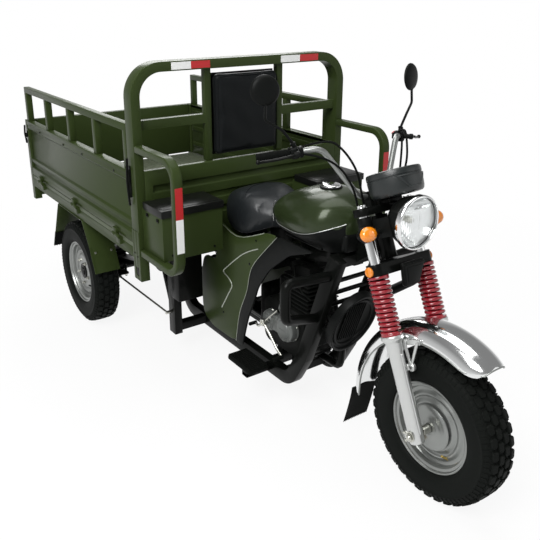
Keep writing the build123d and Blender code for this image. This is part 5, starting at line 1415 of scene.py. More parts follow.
def swollen(mesh, cap, setup):
    # an even skin over the shape, blown up by at most cap metres
    pad = newObject("pad", mesh)
    remesh = pad.modifiers.new("remesh", "REMESH")
    remesh.mode, remesh.voxel_size, remesh.use_smooth_shade = "VOXEL", setup["voxel"], True
    even = evaluated(pad)
    pad.modifiers.clear()
    pad.data = even
    rest = [vertex.co.copy() for vertex in even.vertices]
    cloth = pad.modifiers.new("cloth", "CLOTH")
    cloth.settings.use_pressure = True
    cloth.settings.uniform_pressure_force = setup["pressure"]
    cloth.settings.effector_weights.gravity = 0
    cloth.settings.tension_stiffness = cloth.settings.compression_stiffness = setup["stiffness"]
    cloth.settings.quality = setup["quality"]
    cloth.point_cache.frame_end = setup["frames"]
    for step in range(1, setup["frames"] + 1):
        bpy.context.scene.frame_set(step)
    even = evaluated(pad)
    pad.modifiers.clear()
    bpy.context.scene.frame_set(1)
    for vertex, start in zip(even.vertices, rest):
        move = vertex.co - start
        if move.length > cap:
            vertex.co = start + move.normalized() * cap
    bpy.data.objects.remove(pad)
    return even


def smoothed(mesh):
    holder = newObject("smoothing", mesh)
    smooth = holder.modifiers.new("smooth", "SUBSURF")
    smooth.levels = smooth.render_levels = 1
    result = evaluated(holder)
    bpy.data.objects.remove(holder)
    return result


saddleSetup = {
    "rows": ((862, 118, 752, 864), (888, 140, 738, 884), (960, 148, 722, 904), (1045, 144, 724, 894),
             (1115, 117, 750, 878), (1170, 88, 778, 862)),  # x, half width, skirt, crown
    "tips": ((857.4, 0.72), (1174, 0.7)), "bottom": 766, "cap": 0.006,
    "fold": 0.0007, "foldFrom": 0.84, "foldOver": 0.06, "fill": 0.9,
    "seamX": 1000, "seamBow": 46, "seamSweep": 18, "seamHalf": 128, "seamLift": 0.0006,
}


def saddleHalf(row):
    _, half, skirt, crown = row
    bottom = saddleSetup["bottom"]
    return [(0, bottom), (half * 0.58, bottom), (half * 0.93, skirt), (half * 1.0, skirt + 14),
            (half * 1.01, skirt + (crown - skirt) * 0.55), (half * 0.86, crown - 20),
            (half * 0.5, crown - 4), (0, crown)]


def seamLine(pad, setup):
    # points across the seat dropped onto the pad
    tree = bvhtree.BVHTree.FromPolygons([v.co for v in pad.vertices], [p.vertices for p in pad.polygons])
    line = []
    for y in range(-setup["seamHalf"], setup["seamHalf"] + 1, 16):
        part = (y / 130) ** 2
        x = setup["seamX"] - setup["seamBow"] * (1 - part) + setup["seamSweep"] * part
        hit, normal, _, _ = tree.ray_cast(at(x, y, 1200), Vector((0, 0, -1)))
        if hit:
            line.append(hit + normal * setup["seamLift"])
    return line


def makeSaddle(setup):
    base = skinMesh(setup["rows"], saddleHalf, 30, 26, setup["tips"])
    pad = smoothed(swollen(base, setup["cap"], clothSetup))
    seam = splineMesh(seamLine(pad, setup), 1.5, 2, 4)
    for vertex in pad.vertices:  # shallow folds where the cover is drawn over the foam
        x, y, z = vertex.co
        fold = math.sin(x * 95 + 2.2 * math.sin(y * 26)) * math.sin(y * 40 + 1.3)
        vertex.co.z += setup["fold"] * fold * max(0.0, (z - setup["foldFrom"]) / setup["foldOver"])
    # the seat wears the lighter vinyl copy: painted sheen on its top
    piece = replaceNode("saddle", pad, "saddleVinylPaintedSheen", "seat", 180)
    addPiece("saddleSeam", seam, "vinyl", "seat", 60)


backSetup = {
    "low": (804, -170, 1036), "high": (853, 170, 1399), "round": 0.022, "cap": 0.008, "fill": 0.7,
    "crease": 0.0012, "creaseFrom": 0.02, "pipingInset": 0.016, "pipingSink": 0.003, "pipingRadius": 2.2,
    "plate": ((799.5, -168, 1038), (805, 168, 1397)),
}


def makeBackrest(setup):
    low, high = at(*setup["low"]), at(*setup["high"])
    pad = smoothed(swollen(blockMesh(low, high, setup["round"], 4), setup["cap"], clothSetup))
    start = low.x + setup["creaseFrom"]
    for vertex in pad.vertices:  # crinkles of a loose cover on the front face
        x, y, z = vertex.co
        crease = math.sin(z * 52 + 2.6 * math.sin(y * 17 + 0.8)) + 0.6 * math.sin(y * 64 + z * 23)
        vertex.co.x += setup["crease"] * crease * max(0.0, min(1.0, (x - start) / setup["creaseFrom"]))
    piece = replaceNode("backrestPad", pad, "vinyl", "backrest", 180)
    inset, face = setup["pipingInset"], high.x - setup["pipingSink"]
    near, far, bottom, top = low.y + inset, high.y - inset, low.z + inset, high.z - inset
    ring = ((0, bottom), (far, bottom), (far, top), (near, top), (near, bottom), (0, bottom))
    piping = tubeMesh([Vector((face, y, z)) for y, z in ring], setup["pipingRadius"], 30, 3)
    addPiece("backrestPiping", piping, "vinyl", "backrest", 60)
    plate = blockMesh(*(at(*corner) for corner in setup["plate"]), 0.002)
    addPiece("backrestPlate", plate, "blackPaint", "backrest")


makeSaddle(saddleSetup)
makeBackrest(backSetup)
print("pads ready")

# side panels with their bead, edge lines and screws
panelSetup = {
    "top": ((852, 752), (910, 744), (1000, 718), (1060, 724), (1127, 746), (1238, 794), (1332, 804)),
    "shin": ((1236, 712), (1146, 617), (1122, 556), (1106, 478), (1048, 372), (1026, 283)),
    "back": ((1008, 190), (800, 186), (712, 225), (700, 420), (735, 545), (852, 545)),
    "arch": ((1560, 806), (1410, 748), (1274, 640), (1190, 530), (1158, 450), (1112, 356), (1084, 270),
             (1062, 190)),
    "bead": ((1195, 709), (1100, 668), (1000, 590), (930, 533), (905, 510), (960, 494), (992, 468),
             (964, 430),
             (892, 321)),
    "shinEnds": ((1326, 799), (1010, 196)),
    "screws": ((1180, 742), (905, 300), (1130, 620)),
    "y": 172, "wall": 9.4, "corner": 46, "archCorner": 26,
}


def roundedLine(points, cut, steps=5):
    # each corner of an outline eased into a short curve
    spots = [Vector((x, z)) for x, z in points]
    line = []
    for index, corner in enumerate(spots):
        back, ahead = spots[index - 1] - corner, spots[(index + 1) % len(spots)] - corner
        near = corner + back.normalized() * min(cut, back.length * 0.42)
        far = corner + ahead.normalized() * min(cut, ahead.length * 0.42)
        for step in range(steps + 1):
            share = step / steps
            line.append(near * (1 - share) ** 2 + corner * 2 * share * (1 - share) + far * share ** 2)
    return line


def makePanels(setup):
    top, shin, back = setup["top"], setup["shin"], setup["back"]
    archLine = (back[0], *reversed(shin), top[-1], *setup["arch"])
    inner = -setup["y"]
    outer = inner - setup["wall"]
    for line, name, node, finishName, corner in (
            (top + shin + back, "sidePanels", "body_panels", "olivePaint", setup["corner"]),
            (archLine, "panelArches", "panel_arches", "blackPlastic", setup["archCorner"])):
        edge = [at(spot.x, inner, spot.y) for spot in roundedLine(line, corner)]
        replaceNode(name, pair(plateMesh(edge, mm(0, -setup["wall"], 0), 0.003, 3)), finishName, node)
    first, last = setup["shinEnds"]
    # the bead and edge strips are raised lines on the panel, painted pale: painted highlight along them
    bead = splineMesh([at(x, outer - 0.2, z) for x, z in setup["bead"]], 3.4, 3, 8)
    trim = splineMesh([at(x, outer + 1, z - 3) for x, z in top[:-1]], 2.0, 2)
    front = splineMesh([at(x + 1, outer + 0.4, z) for x, z in (first, *shin, last)], 1.5, 2)
    addPiece("panelBeadsPaintedHighlight", pair(bead, trim, front), "beadPaintedHighlight", "body_panels", 60)
    screws = [boltMesh(at(x, outer, z), -left, 5.5, 2.6) for x, z in setup["screws"]]
    addPiece("panelScrews", pair(*screws), "blackPaint", "body_panels", 30)


makePanels(panelSetup)
print("panels ready")

# engine, covers, linkages, grille, bars and footrests
engineSetup = {
    "parts": (((1180, -60, 470), (1250, 60, 560), 10), ((1392, -34, 300), (1424, 34, 400), 10),
              ((1150, -80, 236), (1390, 80, 252), 6), ((1034, -62, 262), (1128, 62, 468), 14)),
               # corners, edge
    "starter": ((0, -70), (24, -70), (28, -66), (28, 62), (24, 68), (0, 68)), "starterPlace": (1372, 0, 476),
    "face": 95, "covers": ((1312, 368, 62, 45, 6), (1188, 356, 50, 36, 6),
                           (1275, 447, 24, 27, 3)),  # x, height, radius, depth, bolts
    "coverBolt": ((0, 4), (4.5, 4), (4.5, 9), (3.6, 10), (0, 10)), "bridge": (1196, 1304, 322, 410),
    "lead": ((1330, -40, 652), (1330, -92, 660), (1352, -104, 610), (1392, -96, 560), (1440, -88, 540)),
    "plug": ((0, -14), (8, -14), (10, -8), (10, 10), (6, 16), (0, 16)), "plugPlace": (1330, -48, 652),
    "intake": ((1272, 20, 560), (1236, 28, 574), (1190, 30, 572), (1140, 26, 600)),
    "boxes": (((1186, -8, 536), (1246, 66, 612), 9, 3), ((1050, -60, 560), (1140, 70, 662), 16, 4)),
    "fuelHose": ((1400, 60, 800), (1392, 82, 720), (1330, 84, 650), (1240, 60, 604)),
}


def makeEngine(setup):
    extras = [blockMesh(at(*low), at(*high), edge / 1000, 3) for low, high, edge in setup["parts"]]
    extras.append(turnedMesh(setup["starter"], crossFrame(*setup["starterPlace"]), 32))
    replaceNode("engineBlock", joined(softenedMesh("engine", 0.003), *extras), "engineBlack", "engine", 32)
    face = setup["face"]
    covers, bolts, ribs = [], [], []
    head = turnedMesh(setup["coverBolt"], Matrix.Identity(4), 6)
    for x, z, radius, depth, count in setup["covers"]:
        place = axisFrame(at(x, -face, z), (0, -1, 0), (1, 0, 0))
        rows = [(0, depth), (radius * 0.5, depth), (radius * 0.62, depth - 1), (radius * 0.66, depth - 4),
                (radius * 0.8, depth - 5), (radius * 0.9, depth - 9), (radius * 0.95, depth - 16),
                (radius * 0.96, 6),
                (radius, 5), (radius, 0.2), (0, 0.2)]
        covers.append(turnedMesh(rows, place, 56))
        bolts.append(grown(ringTree, "zincPlate", head, place, Count=count, Radius=radius * 0.00096,
                           Across=0.0,
                           Phase=0.4))
        ribs.append(placedBlock((-radius * 0.3, -1.6, depth - 4), (radius * 0.3, 1.6, depth + 1.2), 0.8, 1,
                                place))
    rear, front, low, high = setup["bridge"]
    covers.append(blockMesh(at(rear, -face - 30, low), at(front, -face - 1, high), 0.012, 3))
    replaceNode("engineCovers", pair(*covers, *ribs), "coverGrey", "engine_covers", 34)
    addPiece("coverBolts", pair(*bolts), "zincPlate", ("engine_covers", "foot_controls"), 30)
    lead, intake, hose = ([at(*spot) for spot in setup[key]] for key in ("lead", "intake", "fuelHose"))
    fittings = [tubeMesh(lead, 4, 30, 3), turnedMesh(setup["plug"], crossFrame(*setup["plugPlace"]), 20),
                tubeMesh(intake, 22, 30, 5)]
    fittings += [blockMesh(at(*start), at(*end), edge / 1000, segments) for start, end, edge,
                 segments in setup["boxes"]]
    fittings.append(tubeMesh(hose, 5, 40, 3))
    addPiece("engineFittings", joined(*fittings), "softRubber", "engine")


pedalSetup = {
    "face": 131, "shaft": (1188, 356), "shaftRadius": 10, "armOut": 19,
    "boss": ((6, -9), (15, -9), (16, -7), (16, 7), (15, 9), (6, 9)),
    "arm": ((1188, 356), (1240, 318), (1292, 270), (1330, 250)),
    "heel": ((1188, 356), (1150, 322), (1126, 330)),
    "toePeg": (16, 66, 9), "heelPeg": (12, 52, 8),  # ends from the face, radius
    "link": ((1206, 372), (1262, 436)),
}


def makePedals(setup):
    # gear and brake pedals with rods, eyes and rubber pegs
    metal, rubber = [], []
    x, z = setup["shaft"]
    (linkX, linkZ), (endX, endZ) = setup["link"]
    for side in (-1, 1):
        face = side * setup["face"]
        arm = face + side * setup["armOut"]
        metal.append(rodMesh(at(x, face - side * 2, z), at(x, face + side * 24, z), setup["shaftRadius"],
                             24))
        metal.append(turnedMesh(setup["boss"], crossFrame(x, arm, z), 32))
        for line, radius, bend, (near, far, pegRadius) in ((setup["arm"], 6.4, 30, setup["toePeg"]),
                                                           (setup["heel"], 5.4, 20, setup["heelPeg"])):
            metal.append(tubeMesh([at(along, arm, up) for along, up in line], radius, bend))
            along, up = line[-1]
            rubber.append(rodMesh(at(along, face + side * near, up), at(along, face + side * far, up),
                                  pegRadius, 20, 2))
        metal.append(rodMesh(at(linkX, arm, linkZ), at(endX, face - side * 2, endZ), 4, 16))
    replaceNode("pedals", joined(*metal), "zincPlate", "foot_controls")
    addPiece("pedalPegs", joined(*rubber), "softRubber", ("foot_controls", "footrests"))


footSetup = {
    "x": 1234, "y": 262, "z": 219, "length": 175, "width": 100, "wall": 26, "rim": (3, 9),
     # rim: its edges' insets
    "stud": ((-5.2, -3.4, -2), (5.2, 3.4, 3), 1.2), "columns": 11, "rows": 7, "studTurn": 0.6,
    "columnStep": (0.014, 0, 0), "rowStep": (0, 0.0114, 0),
    "armHalf": 20, "armLow": 152, "armHigh": 174, "armInner": 140,
}


def makeFootrests(setup):
    x, y, z = setup["x"], -setup["y"], setup["z"]
    half, wide, tall = setup["length"] / 2, setup["width"] / 2, setup["wall"] / 2
    pads = [blockMesh(at(x - half, y - wide, z - tall), at(x + half, y + wide, z + tall - 4), 0.007, 3)]
    near, far = setup["rim"]
    rear, front, outer, inner = x - half, x + half, y - wide, y + wide
    low, high, edge = setup["stud"]
    stud = blockMesh(mm(*low), mm(*high), edge / 1000, 1)
    start = Matrix.Translation(at(rear + 18, outer + 16, z + tall - 3.6))
    pads.append(grown(gridTree, "softRubber", stud, start, Columns=setup["columns"], Rows=setup["rows"],
                      Column_Step=setup["columnStep"], Row_Step=setup["rowStep"], Turn=setup["studTurn"]))
    for low, high in (((rear + near, outer + near), (front - near, outer + far)),
                      ((rear + near, inner - far), (front - near, inner - near)),
                      ((rear + near, outer + near), (rear + far, inner - near)),
                      ((front - far, outer + near), (front - near, inner - near))):
        pads.append(blockMesh(at(*low, z + tall - 6), at(*high, z + tall), 0.0018))
    replaceNode("footPads", pair(*pads), "softRubber", "footrests", 34)
    reach, bottom = setup["armHalf"], setup["armLow"]
    corner = at(x - reach, y - reach, bottom)
    arm = blockMesh(corner, at(x + reach, -setup["armInner"], setup["armHigh"]))
    leg = blockMesh(corner, at(x + reach, y + reach, z - tall + 2))
    addPiece("footArms", pair(arm, leg), "blackPaint", ("footrests", "main_frame"), 34)


barSetup = {"line": ((1601.5, -115, 715), (1607, -345, 737), (1607, -345, 592), (1523.8, -115, 505)),
            "radius": 20,
            "bend": 62, "cut": -140.4}


def cutAbove(work, place, normal):
    # trim away what lies beyond a plane and close the cut
    bmesh.ops.bisect_plane(work, geom=work.verts[:] + work.edges[:] + work.faces[:], plane_co=place,
                           plane_no=normal,
                           clear_outer=True)
    bmesh.ops.holes_fill(work, edges=[edge for edge in work.edges if edge.is_boundary])
    return closedMesh(work)


def makeBars(setup):
    first, second, *others = (at(*spot) for spot in setup["line"])
    tube = tubeMesh([first + (second - first) * 0.02, second, *others], setup["radius"], setup["bend"], 6, 8)
    bar = cutAbove(workOn(tube), at(0, setup["cut"], 0), left)
    replaceNode("crashBars", pair(bar), "blackPaint", "crash_bars", 50)


grilleSetup = {
    "knee": (1448, 300), "head": (1630, 792), "height": 508, "ahead": 70,  # the frame tube it stands on
    "squash": 114 / 148,
    "dish": ((148, -18), (148, 12), (146, 17), (141, 18), (136, 16), (134, 8), (124, 4), (121, 9), (117, 10),
             (113, 8),
             (111, 2), (96, -4), (0, -6), (0, -14), (130, -18)),
    "bar": ((-94, -2.6, -4), (94, 2.6, 5), 1.8), "bars": 9, "barStart": (0, -60, -3),
    "barStep": (0, 0.015, 0),
    "stands": (30, 101, 8, 7, -39.6, -16),  # along, aside, half sizes, bottom, top
}


def makeGrille(setup):
    (kneeX, kneeZ), (headX, headZ) = setup["knee"], setup["head"]
    lean = math.atan2(headX - kneeX, headZ - kneeZ)
    ahead, height = setup["ahead"], setup["height"]
    middle = at(kneeX + math.tan(lean) * (height - kneeZ) + ahead * math.cos(lean), 0,
                height - ahead * math.sin(lean))
    flat = axisFrame(middle, (math.cos(lean), 0, -math.sin(lean)), (math.sin(lean), 0, math.cos(lean)))
    place = flat @ Matrix.Diagonal((1, setup["squash"], 1, 1))
    low, high, edge = setup["bar"]
    bar = blockMesh(mm(*low), mm(*high), edge / 1000)
    bars = grown(gridTree, "blackPlastic", bar, place @ Matrix.Translation(mm(*setup["barStart"])),
                 Columns=setup["bars"], Rows=1, Column_Step=setup["barStep"])
    along, aside, long, wide, bottom, top = setup["stands"]
    stands = [placedBlock((x - long, y - wide, bottom), (x + long, y + wide, top), 2, 2, flat)
              for x in (-along, along) for y in (-aside, aside)]
    grille = joined(turnedMesh(setup["dish"], place, 80), bars, *stands)
    replaceNode("grille", grille, "blackPlastic", "grille_disc", 34)


makeEngine(engineSetup)
makePedals(pedalSetup)
makeFootrests(footSetup)
makeBars(barSetup)
makeGrille(grilleSetup)
print("engine and bars ready")

# leaf spring clamps
springSetup = {"y": 330, "bolts": (46, 31), "rod": 6, "clamp": (62, 42), "top": 358.4, "low": 228, "bow": 22}


def makeSprings(setup):
    # clamp plates and U-bolts that hold the springs on the axle
    y, (ahead, aside), (reach, wide) = -setup["y"], setup["bolts"], setup["clamp"]
    top, low, rod = setup["top"], setup["low"], setup["rod"]
    metal = [blockMesh(at(-reach, y - wide, top), at(reach, y + wide, top + 10)),
             blockMesh(at(-reach, y - wide, low), at(reach, y + wide, low + 12))]
    nuts = []
    for x in (-ahead, ahead):
        for side in (y - aside, y + aside):
            metal.append(rodMesh(at(x, side, low - 14), at(x, side, top + 12), rod, 16))
            nuts.append(boltMesh(at(x, side, low), (0, 0, -1), 10, 9))
        bow = ((y - aside, 6), (y - aside, setup["bow"]), (y + aside, setup["bow"]), (y + aside, 6))
        metal.append(tubeMesh([at(x, side, top + rise) for side, rise in bow], rod, 12, 3))
    addPiece("springClamps", pair(*metal), "blackPaint", "leaf_springs")
    addPiece("springNuts", pair(*nuts), "zincPlate", ("leaf_springs", "brake_rods"))


# drop sides, tailgate and their hinges and latches
bedSetup = {
    "outer": 560, "rear": -640, "front": 774, "gateTop": 1019, "floorTop": 690,
    "gateBolts": (-420, -37, 232, 621), "boltHeight": 982, "hinges": (-474, 67, 608),
    "tail": -685, "tailHinges": (308, -308), "tailBolts": 14,
    "rail": (1180, 1213, 33), "uprights": 5, "upright": 36, "wall": 35,
    "innerRibs": ((745, 775), (850, 880), (955, 985)), "ribInset": 24,
    "latches": ((796, 868, 1072), (-667, 884, 990)),  # x, bottom, top
}


def gateShape(node, setup):
    # the solid's panel up to its top edge, with the rail and uprights set as the photo shows them
    outer, rear, front, top = -setup["outer"], setup["rear"], setup["front"], setup["gateTop"]
    panel = cutAbove(workOn(softenedMesh(node, 0.003)), at(0, 0, top - 4), Vector((0, 0, 1)))
    low, high, tube = setup["rail"]
    parts = [blockMesh(at(rear, outer, low), at(front, outer + tube, high)),
             blockMesh(at(rear, outer - 7, top - 20), at(front, outer + setup["wall"], top))]
    pitch = (front - rear - setup["upright"]) / (setup["uprights"] - 1)
    for step in range(setup["uprights"]):
        x = rear + pitch * step
        parts.append(blockMesh(at(x, outer, top - 2), at(x + setup["upright"], outer + tube, low + 2)))
    inner, inset = outer + setup["wall"], setup["ribInset"]
    for ribLow, ribHigh in setup["innerRibs"]:
        parts.append(blockMesh(at(rear + inset, inner - 2, ribLow), at(front - inset, inner + 7, ribHigh),
                               0.006, 3))
    shape = joined(*parts)
    return joined(panel, mirrored(shape) if node.endswith("left") else shape)


def latchMeshes(x, low, high, face):
    # a lever on its base and pivot, with the hook it draws tight
    middle = (low + high) / 2
    lever = ((x - 3, 8, low), (x + 5, 14, low + 40), (x, 15, middle), (x + 3, 12, high))
    hook = ((x + 7, 5, high - 46), (x + 9, 9, high - 70), (x + 6, 9, low + 54), (x + 7, 5, low + 36))
    return [blockMesh(at(x - 9, face - 4, low + 36), at(x + 9, face + 2, high - 34), 0.002),
            rodMesh(at(x, face - 14, middle), at(x, face, middle), 7, 16),
            tubeMesh([at(along, face - out, up) for along, out, up in lever], 5.4, 30, 3),
            tubeMesh([at(along, face - out, up) for along, out, up in hook], 3.6, 14, 3)]


def makeGates(setup):
    face = -setup["outer"]
    for node, flip in (("side_gate_right", False), ("side_gate_left", True)):
        replaceNode(node + "Shape", gateShape(node, setup), "olivePaint", node)
        bolts = [boltMesh(at(x, face, setup["boltHeight"]), -left, 6, 3) for x in setup["gateBolts"]]
        tabs = []
        for x in setup["hinges"]:
            tabs.append(blockMesh(at(x - 24, face - 4, 704), at(x + 12, face + 1, 720), 0.0015))
            hook = ((14, -3, 716), (15, -10, 708), (14, -8, 694))
            bolts.append(tubeMesh([at(x + along, face + out, up) for along, out, up in hook], 3.4, 8, 3, 5))
            bolts.append(boltMesh(at(x + 6, face - 4, 712), -left, 4.5, 3))
        for label, meshes, finishName in (("Bolts", bolts, "blackPaint"), ("Tabs", tabs, "olivePaint")):
            whole = joined(*meshes)
            addPiece(node + label, mirrored(whole) if flip else whole, finishName, node)
    replaceNode("tailgateShape", softenedMesh("tailgate", 0.003), "olivePaint", "tailgate")
    tail, spread = setup["tail"], setup["tailBolts"]
    fixings = [boltMesh(at(tail, y + off, 726), (-1, 0, 0), 6, 4)
               for y in setup["tailHinges"] for off in (-spread, spread)]
    fixings += [blockMesh(at(tail - 4, y - 24, 708), at(tail + 1, y + 24, 738),
                          0.0015) for y in setup["tailHinges"]]
    addPiece("tailgateFixings", joined(*fixings), "blackPaint", "tailgate")
    levers = [mesh for latch in setup["latches"] for mesh in latchMeshes(*latch, face)]
    addPiece("gateLatches", pair(*levers), "blackPaint", ("hoop", "main_frame"))


# hoop and side guards with their sleeves and tapes
hoopSetup = {
    "front": 849, "rear": 779, "top": 1460, "tube": 40, "foot": 527, "seam": 756,
    "hole": (800, 828, 548, 586),
    "bolts": ((797, 650), (823, 638)), "film": 0.6, "tapeInset": 5,
    "tapes": ((-373, -281, "whiteTape"), (-281, -189, "redTape"), (182, 290, "whiteTape"),
              (290, 398, "redTape")),
    "guardFront": 1190, "guardSpread": 540, "guardTape": 16,
    "guardTapes": ((903, 1029, "redTape"), (765, 903, "whiteTape")),
}


def makeHoop(setup):
    replaceNode("hoopShape", softenedMesh("hoop", 0.006, 3), "olivePaint", "hoop")
    replaceNode("guardShape", softenedMesh("side_guards", 0.005, 3), "olivePaint", "side_guards")
    outer = -bedSetup["outer"]
    x0, x1, z0, z1 = setup["hole"]
    front, rear, foot, seam = setup["front"], setup["rear"], setup["foot"], setup["seam"]
    plates = ((rear, x0, foot, seam), (x1, front, foot, seam), (x0 - 1, x1 + 1, foot, z0),
              (x0 - 1, x1 + 1, z1, seam))
    sleeve = [blockMesh(at(near, outer - 2, low), at(far, outer + 1, high), 0.0008) for near, far, low,
              high in plates]
    addPiece("hoopSleeves", pair(*sleeve), "olivePaint", "hoop", 30)
    dark = [blockMesh(at(x0, outer - 0.5, z0), at(x1, outer + 1, z1), 0.0004)]
    dark += [boltMesh(at(x, outer - 2, z), -left, 4, 2) for x, z in setup["bolts"]]
    addPiece("hoopFixings", pair(*dark), "blackPaint", ("hoop", "main_frame"))
    film, inset = setup["film"], setup["tapeInset"]
    high, low = setup["top"] - inset, setup["top"] - setup["tube"] + inset
    guard, spread, half = setup["guardFront"], setup["guardSpread"], setup["guardTape"]
    for finishName in ("redTape", "whiteTape"):
        strips = [blockMesh(at(front - 1, near, low), at(front + film, far, high), 0.0002, 1)
                  for near, far, kind in setup["tapes"] if kind == finishName]
        addPiece(finishName + "Hoop", joined(*strips), finishName, "hoop")
        strips = [blockMesh(at(guard - 1, y - half, bottom), at(guard + film, y + half, top), 0.0002, 1)
                  for bottom, top,
                  kind in setup["guardTapes"] if kind == finishName for y in (-spread, spread)]
        addPiece(finishName + "Guards", joined(*strips), finishName, "side_guards")


# bed floor and front wall
floorPlateSetup = {
    "lozenge": ((0, 1.6), (5, 1.5), (9, 1), (11, 0), (0, -0.4)), "stretch": (1.25, 0.42),
    "start": (-622, -500),
    "columns": 45, "rows": 32, "columnStep": (0.0316, 0, 0), "rowStep": (0, 0.0322, 0),
}


def makeFloorPlate(setup):
    # pressed lozenges over the floor sheet, each turned the other way from its neighbour
    replaceNode("bedFloorShape", softenedMesh("bed_floor", 0.001), "floorPaint", "bed_floor")
    lozenge = turnedMesh(setup["lozenge"], Matrix.Diagonal((*setup["stretch"], 1, 1)), 10)
    start = Matrix.Translation(at(*setup["start"], bedSetup["floorTop"]))
    plate = grown(gridTree, "floorPaint", lozenge, start, Columns=setup["columns"], Rows=setup["rows"],
                  Column_Step=setup["columnStep"], Row_Step=setup["rowStep"], Turn=math.pi / 2)
    addPiece("floorLozenges", plate, "floorPaint", "bed_floor", 50)
    replaceNode("frontWallShape", softenedMesh("bed_front_wall", 0.004, 3), "olivePaint", "bed_front_wall")


# toolboxes with their latches and lids
boxSetup = {"side": 540, "front": 1038, "latches": (905, 1000), "seat": 866, "bolts": (-500, -300),
            "boltHeight": 700,
            "field": (892, 1027, -529, -269, 897)}  # raised part of the right lid: x and y ranges, height


def makeToolboxes(setup):
    replaceNode("toolboxShape", softenedMesh("toolboxes", 0.003, 3), "olivePaint", "toolboxes")
    hooks = []
    side, seat = -setup["side"], setup["seat"]
    for x in setup["latches"]:
        hooks.append(blockMesh(at(x - 5, side - 3, seat - 28), at(x + 5, side + 1, seat - 10), 0.0015))
        hook = [at(x - 7, side - 4, seat - 11), at(x, side - 7, seat - 22), at(x + 8, side - 4, seat - 13)]
        hooks.append(tubeMesh(hook, 2.2, 8, 3, 5))
    hooks += [boltMesh(at(setup["front"], y, setup["boltHeight"]), (1, 0, 0), 5, 3) for y in setup["bolts"]]
    addPiece("boxLatches", pair(*hooks), "blackPaint", ("toolboxes", "main_frame"))
    rear, front, outer, inner, top = setup["field"]
    for node, flip in (("toolbox_lid_right", False), ("toolbox_lid_left", True)):
        replaceNode(node + "Shape", softenedMesh(node, 0.005, 3), "glossBlack", node)
        raised = blockMesh(at(rear, outer, top - 2), at(front, inner, top + 1.6), 0.0016)
        addPiece(node + "Field", mirrored(raised) if flip else raised, "glossBlack", node)


# mudguards with their flaps, and tail lamps
rearSetup = {
    "guard": (430, 566), "rearLine": ((-357, 327), (-270, 500)), "frontLine": ((232, 494), (287, 369)),
    "teeth": 9,
    "flapTop": 0.084, "flapGaps": (0.0032, -0.0062), "strip": (0.09, 0.108), "bite": (0.001, 0.012),
    "guardBolts": (455, 540), "flapBolts": (450, 498, 546),
    "lamp": (-697, -685, 390, 510, 572, 618),  # back, panel, sides, bottom, top
    "lenses": ((0.03, 0.36, "amberLens", "Turn"), (0.38, 0.78, "redLens", "Stop"),
               (0.80, 0.97, "whiteTape", "Reverse")),  # start and end as shares of the width
    "lensRibs": 12, "ribStep": (0, 0, 0.0026),
}


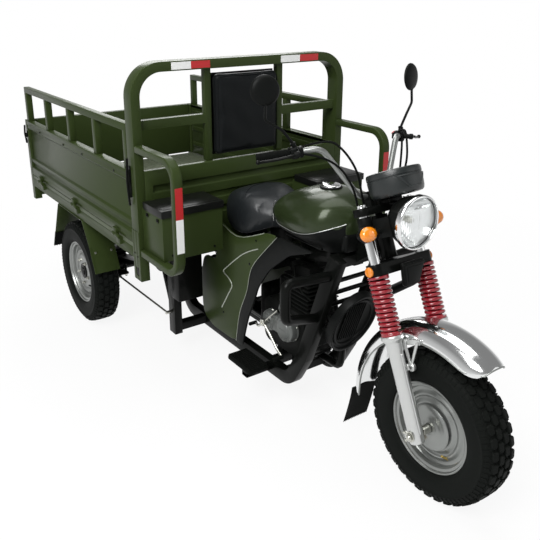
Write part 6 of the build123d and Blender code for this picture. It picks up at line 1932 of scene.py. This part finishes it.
def makeMudguards(setup):
    replaceNode("mudguardShape", softenedMesh("rear_mudguards", 0.001), "olivePaint", "rear_mudguards")
    (x0, z0), (x1, z1) = setup["rearLine"]
    along = Vector((x1 - x0, 0, z1 - z0)).normalized()
    out = Vector((-along.z, 0, along.x))
    inner, outer = setup["guard"]
    count = setup["teeth"] * 2
    edge = [at(x1, -y, z1) - along * setup["flapTop"] for y in (outer, inner)]
    edge += [at(x0, -inner - (outer - inner) * step / count, z0) + along * setup["bite"][step % 2]
             for step in range(count + 1)]
    flaps = [plateMesh([point + out * gap for point in edge], out * 0.003, 0.0006,
                       1) for gap in setup["flapGaps"]]
    high, low = setup["strip"]
    corners = ((4 - outer, high), (-inner - 4, high), (-inner - 4, low), (4 - outer, low))
    line = [at(x1, y, z1) + out * 0.006 - along * drop for y, drop in corners]
    flaps.append(plateMesh(line, out * 0.002, 0.0004, 1))
    addPiece("mudFlaps", pair(*flaps), "softRubber", ("rear_mudguards", "footrests"), 30)
    (x2, z2), (x3, z3) = setup["frontLine"]
    down = Vector((x3 - x2, 0, z3 - z2)).normalized()
    face = Vector((-down.z, 0, down.x))
    lip = [at(x2, -outer, z2), at(x3, -outer, z3), at(x3, -outer + 14, z3), at(x2, -outer + 14, z2)]
    addPiece("mudguardLips", pair(plateMesh(lip, face * 0.0036, 0.001, 1)), "olivePaint", "rear_mudguards",
             30)
    bolts = [boltMesh(at(x2, -y, z2) + down * 0.03 + face * 0.0035, face, 6, 4) for y in setup["guardBolts"]]
    bolts += [boltMesh(at(x1, -y, z1) + out * 0.008 - along * 0.099, out, 5, 3) for y in setup["flapBolts"]]
    addPiece("mudguardBolts", pair(*bolts), "zincPlate", ("rear_mudguards", "brake_rods"))


def makeTailLamps(setup):
    back, panel, low, high, bottom, top = setup["lamp"]
    for start, end, finishName, label in setup["lenses"]:
        y0, y1 = -high + (high - low) * start, -high + (high - low) * end
        lens = blockMesh(at(back, y0, bottom + 4), at(panel - 3, y1, top - 4), 0.003, 3)
        rib = blockMesh(mm(-0.8, y0 + 3, -0.6), mm(0.6, y1 - 3, 0.6), 0.0004, 1)
        ribs = grown(gridTree, finishName, rib, Matrix.Translation(at(back, 0, bottom + 9)),
                     Columns=setup["lensRibs"],
                     Rows=1, Column_Step=setup["ribStep"])
        addPiece("tailLens" + label, pair(lens, ribs), finishName, "tail_lamps")
    base = blockMesh(at(panel - 8, -high, bottom), at(panel, -low, top), 0.002)
    replaceNode("tailLampBases", pair(base), "blackPlastic", ("tail_lamps", "grille_disc"))


makeSprings(springSetup)
makeGates(bedSetup)
makeHoop(hoopSetup)
makeFloorPlate(floorPlateSetup)
makeToolboxes(boxSetup)
makeMudguards(rearSetup)
makeTailLamps(rearSetup)
print("cargo bed ready")

# pieces whose solid already has the right shape, with eased edges
softNodes = {  # node: edge radius in metres, finish
    "triple_clamps": (0.004, "blackPaint"), "main_frame": (0.004, "blackPaint"),
    "brake_rods": (0.001, "zincPlate"),
    "battery_box": (0.006, "blackPaint"), "bed_frame": (0.002, "olivePaint"),
    "rear_axle": (0.003, "blackPaint"),
    "leaf_springs": (0.001, "blackPaint"), "drive_shaft": (0.002, "blackPaint"),
}
for node, (width, finishName) in softNodes.items():
    replaceNode(node + "Shape", softenedMesh(node, width), finishName, node)
exhaust = frame["nodes"]["exhaust"].data  # shown as it is
exhaust.materials.clear()
exhaust.materials.append(finish["blackPaint"])
print("solids softened")
